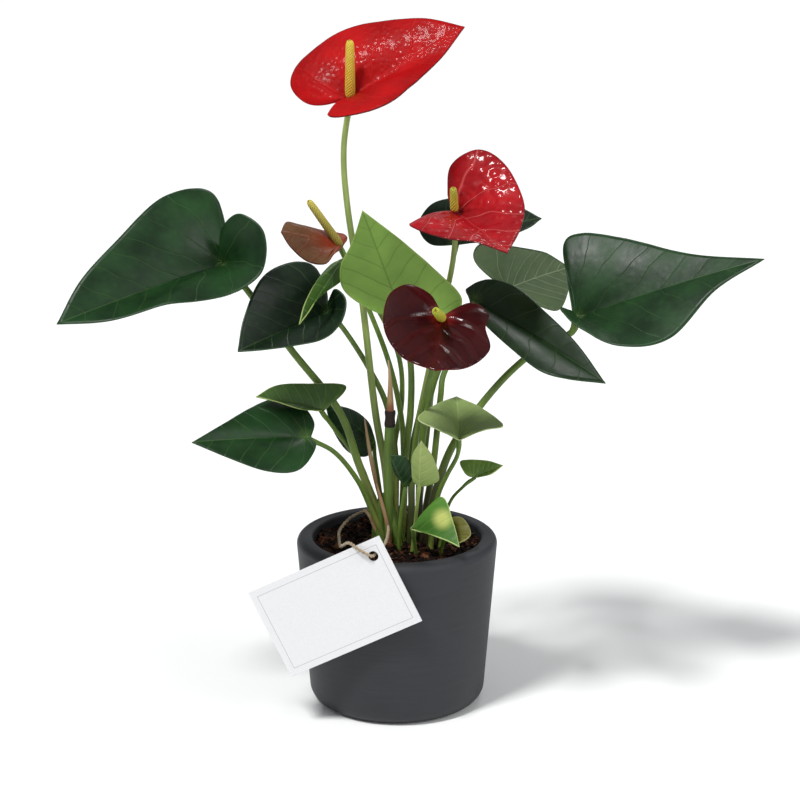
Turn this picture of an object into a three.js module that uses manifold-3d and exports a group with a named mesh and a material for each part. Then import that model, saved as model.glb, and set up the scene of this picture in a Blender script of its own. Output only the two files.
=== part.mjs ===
// A potted anthurium: heart-shaped leaves and four blooms on long stalks, rooted in a plain
// charcoal pot filled with bark soil, with a blank card on a twine loop.
// Millimetres, +Z up, the origin at the middle of the pot's flat foot, the front towards -Y.
import * as THREE from 'three';
import { mergeVertices } from 'three/addons/utils/BufferGeometryUtils.js';
import Module from 'manifold-3d';

const wasm = await Module();
wasm.setup();

// Pot
const potHeight = 102;
const footRadius = 53;
const rimRadius = 60;
const innerRimRadius = 50.5;
const innerFloorRadius = 44;
const floorHeight = 9;
const footRound = 9;
const rimRound = 4.5;
const potSides = 40;

// Soil
const soilHeight = 96;
const soilRings = 6;
const gap = 0.3; // left between pieces that touch

// Leaves, spathes and stalks
const bladeThickness = 0.8;
const stalkSides = 6;
const jointGap = 0.9; // from the middle of a blade down to the end of its stalk
const jointReach = 8; // how far round its joint a blade takes on the joint's direction
const spadixRaise = 3; // from the middle of a spathe up to its spadix
const notchDepth = 0.05; // how far the margin's notch is behind the stalk, as a share of the length

// How finely a blade is made, and how its surface arches, as shares of the way out to the margin:
// along its midrib, and in its halves between the midrib and the lobes
const leafForm = { perSpan: 2, rings: 3, vein: 0.2, arch: 0.02, puff: 0.07 };
const spatheForm = { perSpan: 3, rings: 4, vein: 0.3, arch: 0.02, puff: 0.1 };
const youngForm = { perSpan: 2, rings: 2, vein: 0, arch: 0.03, puff: 0.08, inOne: true };

// Card and twine
const card = {
  width: 86, height: 55.5, thickness: 0.8, holeRadius: 3, holeInset: [8.5, 9.5],
  corner: [-61.3, -53.6, 32.8], turn: -9.3, lean: 1.4, roll: 26.9,
};
const twine = { diameter: 2, steps: 56, sides: 8 };
// The twine's route: from the crown over the rim, down the card's face, through its hole and back
const twineRoute = [
  [-14, 1, 117], [-19, 2, 116], [-28, 0, 112], [-34, -8, 107], [-34, -20, 105], [-33, -34, 106],
  [-31, -46, 110.5], [-28.5, -53, 114.3], [-26, -57.4, 115.3], [-23, -60.3, 113.8], [-18, -61.9, 111.2],
  [-14.9, -61.8, 109.5], [-13.4, -60.1, 108.9], [-12.4, -57, 109], [-9.5, -51, 109.8], [-7, -42, 110],
  [-5.5, -30, 110.5], [-5, -20, 111.5], [-5.2, -15.5, 112],
];

const group = new THREE.Group();
group.name = 'potted_anthurium';

const rad = (degrees) => (degrees * Math.PI) / 180;
const vec = (p) => new THREE.Vector3(...p);
const lerp = THREE.MathUtils.lerp;

const surface = (color, roughness) => new THREE.MeshStandardMaterial({ color, roughness, metalness: 0 });

function addMesh(name, geometry, material) {
  geometry.computeVertexNormals();
  const mesh = new THREE.Mesh(geometry, material);
  mesh.name = name;
  group.add(mesh);
}

function toGeometry(points, triangles) {
  const geometry = new THREE.BufferGeometry();
  geometry.setAttribute('position', new THREE.Float32BufferAttribute(points.flatMap((p) => [...p]), 3));
  geometry.setIndex(triangles.flat());
  return geometry;
}

// Faces of a rod: its first point, rings of points one after another, and its last point
function rodFaces(sides, rows) {
  const last = 1 + (rows + 1) * sides;
  const triangles = [];
  for (let i = 0; i < sides; i += 1) {
    const j = (i + 1) % sides;
    triangles.push([0, 1 + j, 1 + i], [last, last - sides + i, last - sides + j]);
    for (let r = 0; r < rows; r += 1) {
      const a = 1 + r * sides;
      const b = a + sides;
      triangles.push([a + i, a + j, b + i], [a + j, b + j, b + i]);
    }
  }
  return triangles;
}

// ---- Joining and cutting ----

function toSolid(geometry) {
  const bare = geometry.clone();
  bare.deleteAttribute('normal');
  bare.deleteAttribute('uv');
  const merged = mergeVertices(bare, 1e-4);
  return new wasm.Manifold(new wasm.Mesh({
    numProp: 3,
    vertProperties: new Float32Array(merged.attributes.position.array),
    triVerts: new Uint32Array(merged.index.array),
  }));
}

function fromSolid(solid) {
  const { vertProperties, triVerts } = solid.getMesh();
  const geometry = new THREE.BufferGeometry();
  geometry.setAttribute('position', new THREE.BufferAttribute(new Float32Array(vertProperties), 3));
  geometry.setIndex(new THREE.BufferAttribute(new Uint32Array(triVerts), 1));
  return geometry;
}

// The largest piece that is left of a solid after a cut
const mainPiece = (solid) => solid.decompose().reduce((a, b) => (a.volume() > b.volume() ? a : b));

// ---- Pot and soil ----

const innerRadius = (z) => lerp(innerFloorRadius, innerRimRadius,
  (z - floorHeight) / (potHeight - floorHeight));

function arc(cx, cz, radius, from, to, steps) {
  return Array.from({ length: steps + 1 }, (_, i) => {
    const a = rad(lerp(from, to, i / steps));
    return new THREE.Vector2(cx + radius * Math.cos(a), cz + radius * Math.sin(a));
  });
}

function potGeometry() {
  const lipRound = 2;
  const lipHeight = potHeight - lipRound;
  const profile = [
    new THREE.Vector2(0, 0),
    ...arc(footRadius - footRound, footRound, footRound, -90, -4, 4),
    ...arc(rimRadius - rimRound, potHeight - rimRound, rimRound, -4, 90, 4),
    ...arc(innerRadius(lipHeight) + lipRound, lipHeight, lipRound, 90, 180, 2),
    new THREE.Vector2(innerFloorRadius, floorHeight),
    new THREE.Vector2(0, floorHeight),
  ];
  return new THREE.LatheGeometry(profile, potSides).rotateX(Math.PI / 2);
}

// Height of the uneven soil at a place
function soilTop(x, y) {
  const mound = 3 * Math.exp(-(x * x + y * y) / 500);
  const lumps = 0.9 * Math.sin(0.31 * x + 0.17 * y) + 0.7 * Math.sin(0.23 * y - 0.41 * x + 2)
    + 0.5 * Math.sin(0.83 * x + 1.1 * y);
  return soilHeight + mound + lumps;
}

function soilGeometry() {
  const bottom = floorHeight + gap;
  const points = [[0, 0, bottom]];
  const triangles = [];
  const ring = (radius, height) => {
    for (let i = 0; i < potSides; i += 1) {
      const a = (2 * Math.PI * i) / potSides;
      const x = radius * Math.sin(a);
      const y = radius * Math.cos(a);
      points.push([x, y, height(x, y)]);
    }
  };
  const shrink = gap / Math.cos(Math.PI / potSides);
  ring(innerRadius(bottom) - shrink, () => bottom);
  for (let r = soilRings; r > 0; r -= 1) {
    ring((innerRadius(soilHeight) - shrink) * (r / soilRings), soilTop);
  }
  points.push([0, 0, soilTop(0, 0)]);
  const last = points.length - 1;
  for (let i = 0; i < potSides; i += 1) {
    const j = (i + 1) % potSides;
    triangles.push([0, 1 + i, 1 + j], [last - potSides + j, last - potSides + i, last]);
    for (let r = 0; r < soilRings; r += 1) {
      const a = 1 + r * potSides;
      const b = a + potSides;
      triangles.push([a + i, b + i, b + j], [a + i, b + j, a + j]);
    }
  }
  return toGeometry(points, triangles);
}

// ---- Blades: leaves and spathes ----

const smooth = (points) => new THREE.CatmullRomCurve3(points.map(vec), false, 'catmullrom', 0.5);

// A blade's middle surface. It hangs on the place where its stalk joins it. Its margin runs from the
// tip through a few points of each half, round the rear lobes, to the notch behind the stalk. Rays
// run from the stalk out to the margin, and the surface arches along them. A blade whose lobes rise
// beside each other gives its own notch between them.
function bladeSkin({ base, tip, notch, right, left, perSpan, rings, arch, puff }) {
  const stem = vec(base);
  const forward = vec(tip).sub(stem);
  const end = notch ?? stem.clone().addScaledVector(forward, -notchDepth).toArray();
  const half = (points) => smooth([tip, ...points, end]).getPoints(perSpan * (points.length + 1));
  const spokes = [...half(right), ...half(left).slice(1, -1).reverse()].map((p) => p.sub(stem));
  const count = spokes.length;
  const ups = spokes.map((_, i) => (
    new THREE.Vector3().crossVectors(spokes[(i + 1) % count], spokes[(i + count - 1) % count]).normalize()));
  const points = [stem.toArray()];
  for (let r = 1; r <= rings; r += 1) {
    const share = (r / rings) ** 0.85;
    spokes.forEach((spoke, i) => {
      const aside = THREE.MathUtils.smoothstep(spoke.angleTo(forward), 0, rad(50));
      const height = 4 * share * (1 - share) * spoke.length() * lerp(arch, puff, aside);
      points.push(stem.clone().addScaledVector(spoke, share).addScaledVector(ups[i], height).toArray());
    });
  }
  const faces = [];
  for (let i = 0; i < count; i += 1) {
    const j = (i + 1) % count;
    faces.push([0, 1 + j, 1 + i]);
    for (let r = 1; r < rings; r += 1) {
      const a = 1 + (r - 1) * count;
      const b = a + count;
      faces.push([a + i, a + j, b + i], [a + j, b + j, b + i]);
    }
  }
  return { points, faces, count, up: ups.reduce((sum, up) => sum.add(up), vec([0, 0, 0])).normalize() };
}

// Cuts a stalk flat just below its blade
function cutBelowBlade(solid, blade) {
  const down = bladeSkin(blade).up.negate();
  return mainPiece(solid.trimByPlane(down.toArray(), down.dot(vec(blade.base)) + jointGap));
}

// A closed body between some faces of a skin and the same faces below, which come n points later.
// Two such bodies that share an edge of the skin meet in the same wall.
function slab(points, n, faces) {
  const edges = faces.flatMap(([a, b, c]) => [[a, b], [b, c], [c, a]]);
  const shared = new Set(edges.map(([a, b]) => `${b},${a}`));
  const walls = edges.filter(([a, b]) => !shared.has(`${a},${b}`)).flatMap(([a, b]) => (
    a < b ? [[b, a, b + n], [a, a + n, b + n]] : [[b, a, a + n], [b, a + n, b + n]]));
  return toSolid(toGeometry(points,
    [...faces, ...faces.map(([a, b, c]) => [a + n, c + n, b + n]), ...walls]));
}

// The blade's body, alike on both faces, with every second ray raised as a vein. It is joined from
// the slabs between its rays, as the parts of a folded blade may run into each other, unless it is
// small enough to be made in one. Round the joint its thickness is laid along the whole blade's
// direction instead of each part's own.
function bladeSolid(blade) {
  const { points, faces, count, up } = bladeSkin(blade);
  const skin = toGeometry(points, faces);
  skin.computeVertexNormals();
  const normals = skin.attributes.normal;
  const outer = 1 + (blade.rings - 1) * count;
  const shifted = (sign) => points.map((p, i) => {
    const relief = i > 0 && i < outer ? blade.vein * ((i - 1) % 2 ? -0.6 : 1) : 0;
    const inward = Math.max(0, 1 - vec(p).distanceTo(vec(blade.base)) / jointReach);
    return new THREE.Vector3().fromBufferAttribute(normals, i).lerp(up, inward).normalize()
      .multiplyScalar((sign * bladeThickness) / 2 + relief).add(vec(p)).toArray();
  });
  const both = [...shifted(1), ...shifted(-1)];
  const perRay = faces.length / count;
  const parts = blade.inOne ? [faces]
    : Array.from({ length: count }, (_, i) => faces.slice(i * perRay, (i + 1) * perRay));
  const slabs = parts.map((part) => slab(both, points.length, part));
  return mainPiece(wasm.Manifold.union(slabs).simplify(0.01));
}

// ---- Stalks ----

// A closed round tube through a list of points, with its radius given along it
function tubeGeometry(points, radiusAt, segments, sides = stalkSides) {
  const curve = smooth(points);
  const frames = curve.computeFrenetFrames(segments, false);
  const vertices = [];
  const triangles = [];
  for (let s = 0; s <= segments; s += 1) {
    const centre = curve.getPointAt(s / segments);
    const radius = radiusAt(s / segments);
    for (let i = 0; i < sides; i += 1) {
      const a = (2 * Math.PI * i) / sides;
      vertices.push(centre.clone().addScaledVector(frames.normals[s], radius * Math.cos(a))
        .addScaledVector(frames.binormals[s], radius * Math.sin(a)).toArray());
    }
  }
  for (let i = 0; i < sides; i += 1) {
    const j = (i + 1) % sides;
    for (let s = 0; s < segments; s += 1) {
      const a = s * sides;
      const b = a + sides;
      triangles.push([a + i, a + j, b + j], [a + i, b + j, b + i]);
    }
    if (i > 0 && i < sides - 1) {
      const top = segments * sides;
      triangles.push([0, i + 1, i], [top, top + i, top + i + 1]);
    }
  }
  return toGeometry(vertices, triangles);
}

// ---- Spadices ----

// A rod of florets on a spiral lattice, from its root to its tip
function spadixGeometry({ root, tip, radius, rows = 14, sides = 10, bump = 0.35 }) {
  const start = vec(root);
  const axis = vec(tip).sub(start);
  const across = new THREE.Vector3(0, 1, 0).cross(axis).normalize();
  const other = new THREE.Vector3().crossVectors(axis, across).normalize();
  const points = [start.toArray()];
  for (let r = 0; r <= rows; r += 1) {
    const t = r / rows;
    const taper = (1 - 0.3 * t) * Math.sqrt(Math.max(1 - ((t - 0.5) / 0.53) ** 8, 0));
    for (let i = 0; i < sides; i += 1) {
      const a = (2 * Math.PI * (i + r / 2)) / sides;
      const reach = radius * taper + (r % 2 ? bump : -bump) * (r > 0 && r < rows ? 1 : 0);
      points.push(start.clone().addScaledVector(axis, t).addScaledVector(across, reach * Math.cos(a))
        .addScaledVector(other, reach * Math.sin(a)).toArray());
    }
  }
  points.push(vec(tip).addScaledVector(axis, 0.01).toArray());
  return toGeometry(points, rodFaces(sides, rows));
}

// ---- The plant ----

const leafGreen = surface(0x2c5a2c, 0.35);
const freshGreen = surface(0x6f9a45, 0.45);
const stalkGreen = surface(0x7d9a3c, 0.5);
const darkStalk = surface(0x3f4a22, 0.5);
const red = surface(0xb3161c, 0.25);
const maroon = surface(0x4a1418, 0.25);
const bronze = surface(0x7a3a22, 0.35);
const spadixYellow = surface(0xd8c23c, 0.55);

// Crowns: the short stems that the stalks grow from, each along a line through the soil
const crowns = {
  green: { from: [-3, -2, 78], to: [-8, -5, 128], radius: 12, shrink: 0.5, lobes: 5, tint: stalkGreen },
  brown: { from: [15, -2, 78], to: [20, -4, 118], radius: 8.5, shrink: 0.6, lobes: 4, tint: darkStalk },
  back: { from: [6, 9, 78], to: [7, 8, 112], radius: 9, shrink: 0.5, lobes: 4, tint: stalkGreen },
};

// Large leaves: the joint with the stalk, the tip, the margin's points from the tip round the right
// half and round the left half, and the stalk's points from the crown up to the blade
const leaves = {
  left_high: {
    base: [-99, -15, 269], tip: [-188, -60, 244], notch: [-99, -13, 279],
    right: [[-176, -46, 266], [-157, -30, 286], [-135, -12, 306], [-113, 2, 310], [-102, 5, 300],
      [-103, -4, 285]],
    left: [[-158, -64, 247], [-126, -64, 256], [-95, -56, 259], [-75, -48, 271], [-74, -40, 292],
      [-88, -31, 301], [-99, -22, 291]],
    stalk: [[-8, -7, 110], [-22, -9, 147], [-34, -9, 181], [-61, -12, 218], [-86, -14, 254]], radius: 2,
  },
  left_mid: {
    base: [-40, -10, 240], tip: [-88, -62, 229], notch: [-39.6, -10, 244],
    right: [[-85, -52, 246], [-76, -34, 265], [-61, -14, 270], [-48, -4, 266], [-41, -5, 253]],
    left: [[-70, -60, 230], [-44, -48, 232], [-32, -37, 239], [-29, -26, 250.5], [-35.5, -18.5, 255.5]],
    stalk: [[-1, 2, 110], [-1, 4, 150], [-6, 2, 181], [-17, 1, 205], [-31, -5, 229]], radius: 1.6,
  },
  centre_back: {
    base: [3, -14, 238], tip: [-19, -44, 305],
    right: [[-25, -32, 285], [-32, -24, 269], [-30, -18, 254], [-14, -15, 242]],
    left: [[2, -30, 286], [25, -20, 264], [37, -17, 250], [33, -17, 241], [19, -15, 239]],
    stalk: [[3, 4, 98], [5, 2, 150], [8, 3, 177], [8, -3, 208]], radius: 1.9, tint: freshGreen,
  },
  left_narrow: {
    base: [-32, -1, 268.5], tip: [-54.3, -54, 242.5],
    right: [[-51.8, -46, 252], [-46.9, -33, 260.3], [-42.2, -20, 265], [-37.3, -8, 268]],
    left: [[-49.7, -47, 247.5], [-45.5, -38, 252.5], [-40.7, -27, 255], [-32.2, -12, 258.5], [-27, -2, 265]],
    vein: 0.08,
    stalk: [[-1, 9, 98], [-2, 14, 147], [3, 19, 181], [0, 18, 211], [-16, 8, 246]], radius: 1.4,
  },
  right_mid: {
    base: [45, -8, 246], tip: [114, -82, 216],
    right: [[93, -84, 219], [78, -78, 222], [63, -58, 230], [50, -36, 238], [44, -18, 241]],
    left: [[100, -60, 233], [84, -38, 246], [68, -16, 256], [53, -4, 258], [41, 0, 252]],
    stalk: [[13, -1, 98], [14, -2, 150], [18, -6, 182], [26, -9, 210]], radius: 1.8,
  },
  right_high: {
    base: [105, 5, 233], tip: [208, -25, 274], notch: [102.6, 3.8, 237.6],
    right: [[180, -30, 257], [154, -42, 232], [126, -40, 227], [104, -27, 235], [94, -14, 243]],
    left: [[169, -4, 273], [136, 16, 278], [111, 26, 280], [99, 27, 274], [100, 15, 254]],
    stalk: [[17, -4, 98], [24, -4, 133], [35, -4, 162], [61, 4, 195], [86, 9, 216], [102, 6, 224]],
    radius: 2,
  },
  right_back: {
    base: [67, 60, 240], tip: [104, 56, 254],
    right: [[89, 48, 264], [67, 44, 269], [50, 44, 270], [47, 52, 258]],
    left: [[105, 66, 236], [99, 74, 223], [82, 70, 229]],
    stalk: [[15, 8, 84], [17, 9, 112], [22, 10, 144], [26, 20, 181], [29, 28, 196], [44, 44, 217]],
    radius: 1.7,
  },
  right_dark: {
    base: [36, 44, 273], tip: [85, 24, 289], notch: [37.5, 40, 270.5],
    right: [[75, 20, 283], [58, 26, 276]],
    left: [[70, 40, 294], [41, 55, 296], [22, 56, 293], [13, 50, 281], [20, 44, 270]],
    stalk: [[12, 13, 84], [13, 13, 110], [19, 20, 168], [25, 31, 221], [30, 36, 244]], radius: 1.5,
    tint: bronze,
  },
  left_low: {
    base: [-52, -42, 174], tip: [-114, -70, 179],
    right: [[-98, -58, 186], [-76, -34, 193], [-60, -24, 191], [-48, -30, 181]],
    left: [[-95, -74, 172], [-73, -75, 164], [-55, -67, 162], [-46, -51, 170]],
    stalk: [[-8, -10, 104], [-15, -12, 121], [-23, -18, 141], [-36, -31, 162]], radius: 1.4,
  },
  left_folded: {
    base: [-44, -20, 184], tip: [-80, -42, 198],
    right: [[-69, -32, 202], [-52, -20, 200], [-30, -6, 195]],
    left: [[-69, -42, 195], [-55, -36, 189]],
    stalk: [[-10, -2, 106], [-19, -3, 140], [-28, -5, 157], [-36, -9, 169]], radius: 1.3,
  },
  left_inner: {
    base: [-14, 4, 159], tip: [-43, 8, 181],
    right: [[-29, 14, 176], [-18, 13, 169]],
    left: [[-38, 2, 166], [-29, 1, 153], [-18, 2, 150]],
    stalk: [[-8, 1, 104], [-10, 5, 125], [-13, 8, 146]], radius: 1.2,
  },
  right_small: {
    base: [36, -30, 170], tip: [35, 4, 186],
    right: [[49, -10, 183], [61, -34, 179], [50, -37, 177]],
    left: [[24, -12, 186], [12, -30, 182], [24, -37, 177]],
    stalk: [[19, -13, 84], [21, -14, 110], [24, -15, 130], [29, -19, 144], [35, -25, 158]], radius: 1.3,
    tint: freshGreen,
  },
};

// Young leaves low in the crown, each grown in one piece with its stalk
const youngLeaves = {
  pale: {
    base: [13, -30, 142], tip: [14, -38, 171],
    right: [[21, -36, 160], [24, -30, 145]], left: [[9, -34, 161], [9, -30, 146]],
    stalk: [[8, -16, 86], [11, -21, 118]], radius: 1,
  },
  dark: {
    base: [5, -24, 139], tip: [-4, -30, 160],
    right: [[5, -31, 159], [10, -28, 148]], left: [[-2, -28, 150]],
    stalk: [[1, -16, 86], [2, -20, 118]], radius: 1,
  },
  side: {
    base: [46, -15, 142], tip: [62, -24, 152],
    right: [[54, -23, 146]], left: [[52, -17, 153], [38, -8, 150], [40, -12, 144]],
    stalk: [[23, -10, 86], [30, -11, 122], [39, -14, 136]], radius: 0.9,
  },
  yellow_patch: {
    base: [9, -28, 114], tip: [36, -50, 111],
    right: [[22, -45, 116]], left: [[33, -40, 121], [27, -32, 135], [17, -28, 126]],
    stalk: [[12, -18, 86], [11, -23, 100]], radius: 1,
  },
  olive: {
    base: [29, -24, 111], tip: [35, -40, 109],
    right: [[30, -34, 108]], left: [[43, -34, 113], [39, -26, 120], [32, -22, 119]],
    stalk: [[24, -18, 84], [26, -20, 98]], radius: 1,
  },
};

// Blooms: the spathe is a blade, with the spadix on its upper side and the stalk below
const blooms = {
  top: {
    base: [-26, -10, 363], tip: [38, -5, 402],
    right: [[24, -16, 385], [10, -34, 374], [-6, -46, 363], [-26, -43, 357], [-38, -33, 356]],
    left: [[16, 4, 406], [-7, 12, 404], [-32, 15, 398], [-55, 10, 381], [-60, 3, 368], [-49, -7, 359]],
    spadix: { tip: [-26, -14, 395], radius: 3 }, tint: red,
    stalk: [[-4, -1, 106], [-7, -1, 143], [-13, -4, 181], [-20, -8, 246], [-28, -9, 300], [-30, -10, 334]],
    radius: 1.8,
  },
  right: {
    base: [34, -12, 298], tip: [60, -72, 286], notch: [31.7, -10.8, 300],
    right: [[43, -66, 291], [24, -56, 292], [7, -40, 296], [19, -24, 297]],
    left: [[69, -44, 296], [71, -28, 308], [61, -10, 326], [46, -3, 333], [31, -2, 324], [29, -7, 309]],
    spadix: { root: [32.7, -15.6, 300.4], tip: [31.8, -20, 313.6], radius: 2.5 }, tint: red,
    stalk: [[9, 7, 98], [9, 8, 148], [14, 4, 178], [25, -4, 234], [32, -10, 269]], radius: 1.7,
  },
  bronze: {
    base: [-34, 38, 270], tip: [-68, 18, 282],
    right: [[-65, 28, 286], [-55, 39, 282], [-45, 47, 278], [-31, 50, 274]],
    left: [[-62, 12, 274], [-52, 9, 266], [-42, 12, 264], [-37, 22, 268]],
    spadix: { tip: [-52, 31, 298.2], radius: 2.7 }, tint: bronze,
    stalk: [[4, 9, 98], [4, 9, 149], [2, 11, 175], [-5, 18, 204], [-17, 28, 234]], radius: 1.5,
  },
  maroon: {
    base: [25, -55, 246], tip: [21, -94, 226],
    right: [[3, -84, 231], [-7, -68, 243], [-5, -54, 258], [6, -48, 264], [19, -49, 258]],
    left: [[39, -86, 226], [51, -71, 232], [49, -60, 242], [51, -51, 248], [41, -47, 253]],
    spadix: { tip: [21, -80, 256], radius: 2.8 }, tint: maroon,
    stalk: [[7, -10, 84], [8, -10, 112], [11, -13, 164], [20, -34, 212], [24, -46, 232]], radius: 1.5,
  },
};

// The young shoot: a thick stalk, a collar, and a sheath that closes to a point
const shoot = {
  points: [[-5, -9, 104], [-5, -10, 131], [-5, -10, 153], [-4, -10, 178], [-4, -9, 199], [-5, -8, 211]],
  stalkRadius: 3, collarAt: 0.66, collarLength: 0.09, collarRadius: 3.2, sheathRadius: 2.5, pointRadius: 0.5,
};

function crownGeometry({ from, to, radius, shrink, lobes }, grow = 0) {
  const axis = vec(to).sub(vec(from));
  const sides = lobes * 4;
  const rows = 4;
  const points = [from];
  for (let r = 0; r <= rows; r += 1) {
    const t = r / rows;
    for (let i = 0; i < sides; i += 1) {
      const a = (2 * Math.PI * i) / sides;
      const reach = radius * (1 - shrink * t) * (1 + 0.14 * Math.cos(lobes * a)) + grow;
      points.push([reach * Math.cos(a) + from[0] + axis.x * t, reach * Math.sin(a) + from[1] + axis.y * t,
        from[2] + axis.z * t + (r === rows ? grow : 0)]);
    }
  }
  points.push([to[0], to[1], to[2] + 2 + grow]);
  return toGeometry(points, rodFaces(sides, rows));
}

const crownRooms = Object.values(crowns).map((crown) => toSolid(crownGeometry(crown, gap)));
const crownRoom = crownRooms.reduce((a, b) => a.add(b));
const crownSolids = Object.values(crowns).map((crown, i) => mainPiece(crownRooms.slice(0, i)
  .reduce((solid, room) => solid.subtract(room), toSolid(crownGeometry(crown)))));

const stalkTube = (plant, extra = 0) => toSolid(tubeGeometry([...plant.stalk, plant.base],
  (t) => plant.radius * (1.3 - 0.4 * t) + extra, 10));

// A stalk ends in the crown or in the soil, and just under its blade
const stalkSolid = (plant) => cutBelowBlade(stalkTube(plant).subtract(crownRoom), plant);

for (const [name, given] of Object.entries(leaves)) {
  const leaf = { ...leafForm, ...given };
  addMesh(`leaf_${name}_blade`, fromSolid(bladeSolid(leaf)), leaf.tint ?? leafGreen);
  addMesh(`leaf_${name}_stalk`, fromSolid(stalkSolid(leaf)), stalkGreen);
}

for (const [name, given] of Object.entries(blooms)) {
  const bloom = { ...spatheForm, ...given };
  addMesh(`bloom_${name}_spathe`, fromSolid(bladeSolid(bloom)), bloom.tint);
  const root = bladeSkin(bloom).up.multiplyScalar(spadixRaise).add(vec(bloom.base)).toArray();
  addMesh(`bloom_${name}_spadix`, spadixGeometry({ root, ...bloom.spadix }), spadixYellow);
  addMesh(`bloom_${name}_stalk`, fromSolid(stalkSolid(bloom)), stalkGreen);
}

for (const [name, given] of Object.entries(youngLeaves)) {
  const leaf = { ...youngForm, ...given };
  const whole = bladeSolid(leaf).add(stalkTube(leaf).subtract(crownRoom));
  addMesh(`young_leaf_${name}`, fromSolid(mainPiece(whole)), freshGreen);
}

const shootRadius = (t) => {
  const { stalkRadius, collarAt, collarLength, collarRadius, sheathRadius, pointRadius } = shoot;
  if (t < collarAt) return stalkRadius;
  return t < collarAt + collarLength ? collarRadius
    : lerp(sheathRadius, pointRadius, (t - collarAt) / (1 - collarAt));
};
const shootTube = toSolid(tubeGeometry(shoot.points, shootRadius, 14, 8));
addMesh('young_shoot', fromSolid(mainPiece(shootTube.subtract(crownRoom))), stalkGreen);

Object.entries(crowns).forEach(([name, crown], i) => {
  addMesh(`crown_${name}`, fromSolid(crownSolids[i]), crown.tint);
});

// The soil has a hole for each crown, and for each stalk that stands in it beside the crowns
const rooted = [...Object.values(leaves), ...Object.values(blooms), ...Object.values(youngLeaves)]
  .filter((plant) => plant.stalk[0][2] < soilHeight + 8);
const soil = rooted.reduce((solid, plant) => solid.subtract(stalkTube(plant, gap)),
  toSolid(soilGeometry()).subtract(crownRoom));
addMesh('pot', potGeometry(), surface(0x34363a, 0.7));
addMesh('soil', fromSolid(mainPiece(soil)), surface(0x2c1d14, 0.95));

// ---- Card and twine ----

const cardShape = new THREE.Shape([[0, 0], [card.width, 0], [card.width, card.height], [0, card.height]]
  .map(([x, y]) => new THREE.Vector2(x, y)));
const hole = new THREE.Path();
hole.absarc(card.width - card.holeInset[0], card.height - card.holeInset[1], card.holeRadius,
  0, 2 * Math.PI);
cardShape.holes.push(hole);
const cardGeometry = new THREE.ExtrudeGeometry(cardShape, {
  depth: card.thickness, bevelEnabled: false, curveSegments: 12 });
addMesh('tag_card', cardGeometry, surface(0xf2f2f2, 0.7));
const cardMesh = group.getObjectByName('tag_card');
cardMesh.position.set(...card.corner);
cardMesh.rotation.set(rad(90 - card.lean), 0, rad(card.turn), 'ZXY');
cardMesh.rotateZ(rad(card.roll));

const twineSection = new THREE.Shape(Array.from({ length: twine.sides }, (_, i) => {
  const a = (2 * Math.PI * i) / twine.sides;
  return new THREE.Vector2(Math.cos(a), Math.sin(a)).multiplyScalar(twine.diameter / 2);
}));
addMesh('twine_loop', new THREE.ExtrudeGeometry(twineSection, {
  steps: twine.steps, extrudePath: smooth(twineRoute), bevelEnabled: false }), surface(0xa5875f, 0.95));

export default group;
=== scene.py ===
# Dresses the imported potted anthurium: pot, soil, leaves and blooms on their stalks, card and twine.
# Sizes are in millimetres, as in the part's own source, and are turned into metres when a mesh is made.
import math
import random

import bpy
import numpy as np
from mathutils import Matrix, Vector, noise


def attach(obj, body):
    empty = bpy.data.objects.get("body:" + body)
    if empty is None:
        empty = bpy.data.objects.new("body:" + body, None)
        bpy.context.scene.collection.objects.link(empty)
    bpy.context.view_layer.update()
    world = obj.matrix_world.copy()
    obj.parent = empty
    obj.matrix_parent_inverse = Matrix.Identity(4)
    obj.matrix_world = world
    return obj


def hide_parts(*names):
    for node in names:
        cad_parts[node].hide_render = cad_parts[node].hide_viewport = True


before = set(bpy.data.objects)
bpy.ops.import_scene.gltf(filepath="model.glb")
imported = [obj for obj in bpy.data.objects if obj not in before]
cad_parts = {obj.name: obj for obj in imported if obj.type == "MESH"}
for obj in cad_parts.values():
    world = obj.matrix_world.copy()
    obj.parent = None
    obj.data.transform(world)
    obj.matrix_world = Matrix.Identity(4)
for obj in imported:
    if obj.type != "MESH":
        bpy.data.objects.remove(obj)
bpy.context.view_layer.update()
scene = bpy.context.scene
mm = 0.001
print("frame loaded:", len(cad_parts), "nodes")


def linked(name, data):  # a new object in the scene
    made = bpy.data.objects.new(name, data)
    scene.collection.objects.link(made)
    return made


# The camera's place and nearest distance are in millimetres, and its pitch is in degrees.
view = {"place": (1.8, -1139.6, 484.0), "pitchDown": 14.7, "lens": 90, "sensor": 36, "nearest": 50}

cameraData = bpy.data.cameras.new("plantCamera")
cameraData.lens = view["lens"]
cameraData.sensor_width = view["sensor"]
cameraData.clip_start = view["nearest"] * mm
camera = linked("plantCamera", cameraData)
camera.location = Vector(view["place"]) * mm
camera.rotation_euler = (math.radians(90 - view["pitchDown"]), 0, 0)
scene.camera = camera


# The next functions work on rows of points, in millimetres.
def throughPoints(points, perSpan):  # a smooth open curve through points, perSpan steps to each span
    given = np.array(points, float)
    padded = np.vstack([2 * given[0] - given[1], given, 2 * given[-1] - given[-2]])
    t = (np.arange(perSpan) / perSpan)[:, None]
    rows = []
    for a, b, c, d in zip(padded, padded[1:], padded[2:], padded[3:]):
        slopeB, slopeC = (c - a) / 2, (d - b) / 2
        rows.append(b + slopeB * t + (3 * (c - b) - 2 * slopeB - slopeC) * t ** 2
                    + (2 * (b - c) + slopeB + slopeC) * t ** 3)
    return np.vstack(rows + [given[-1:]])


def evenly(line, count):  # the same line with count points, the same distance apart
    along = np.concatenate([[0], np.cumsum(np.linalg.norm(np.diff(line, axis=0), axis=1))])
    at = np.linspace(0, along[-1], count)
    return np.stack([np.interp(at, along, line[:, k]) for k in range(3)], axis=1)


def lengthOf(line):
    return float(np.linalg.norm(np.diff(line, axis=0), axis=1).sum())


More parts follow.
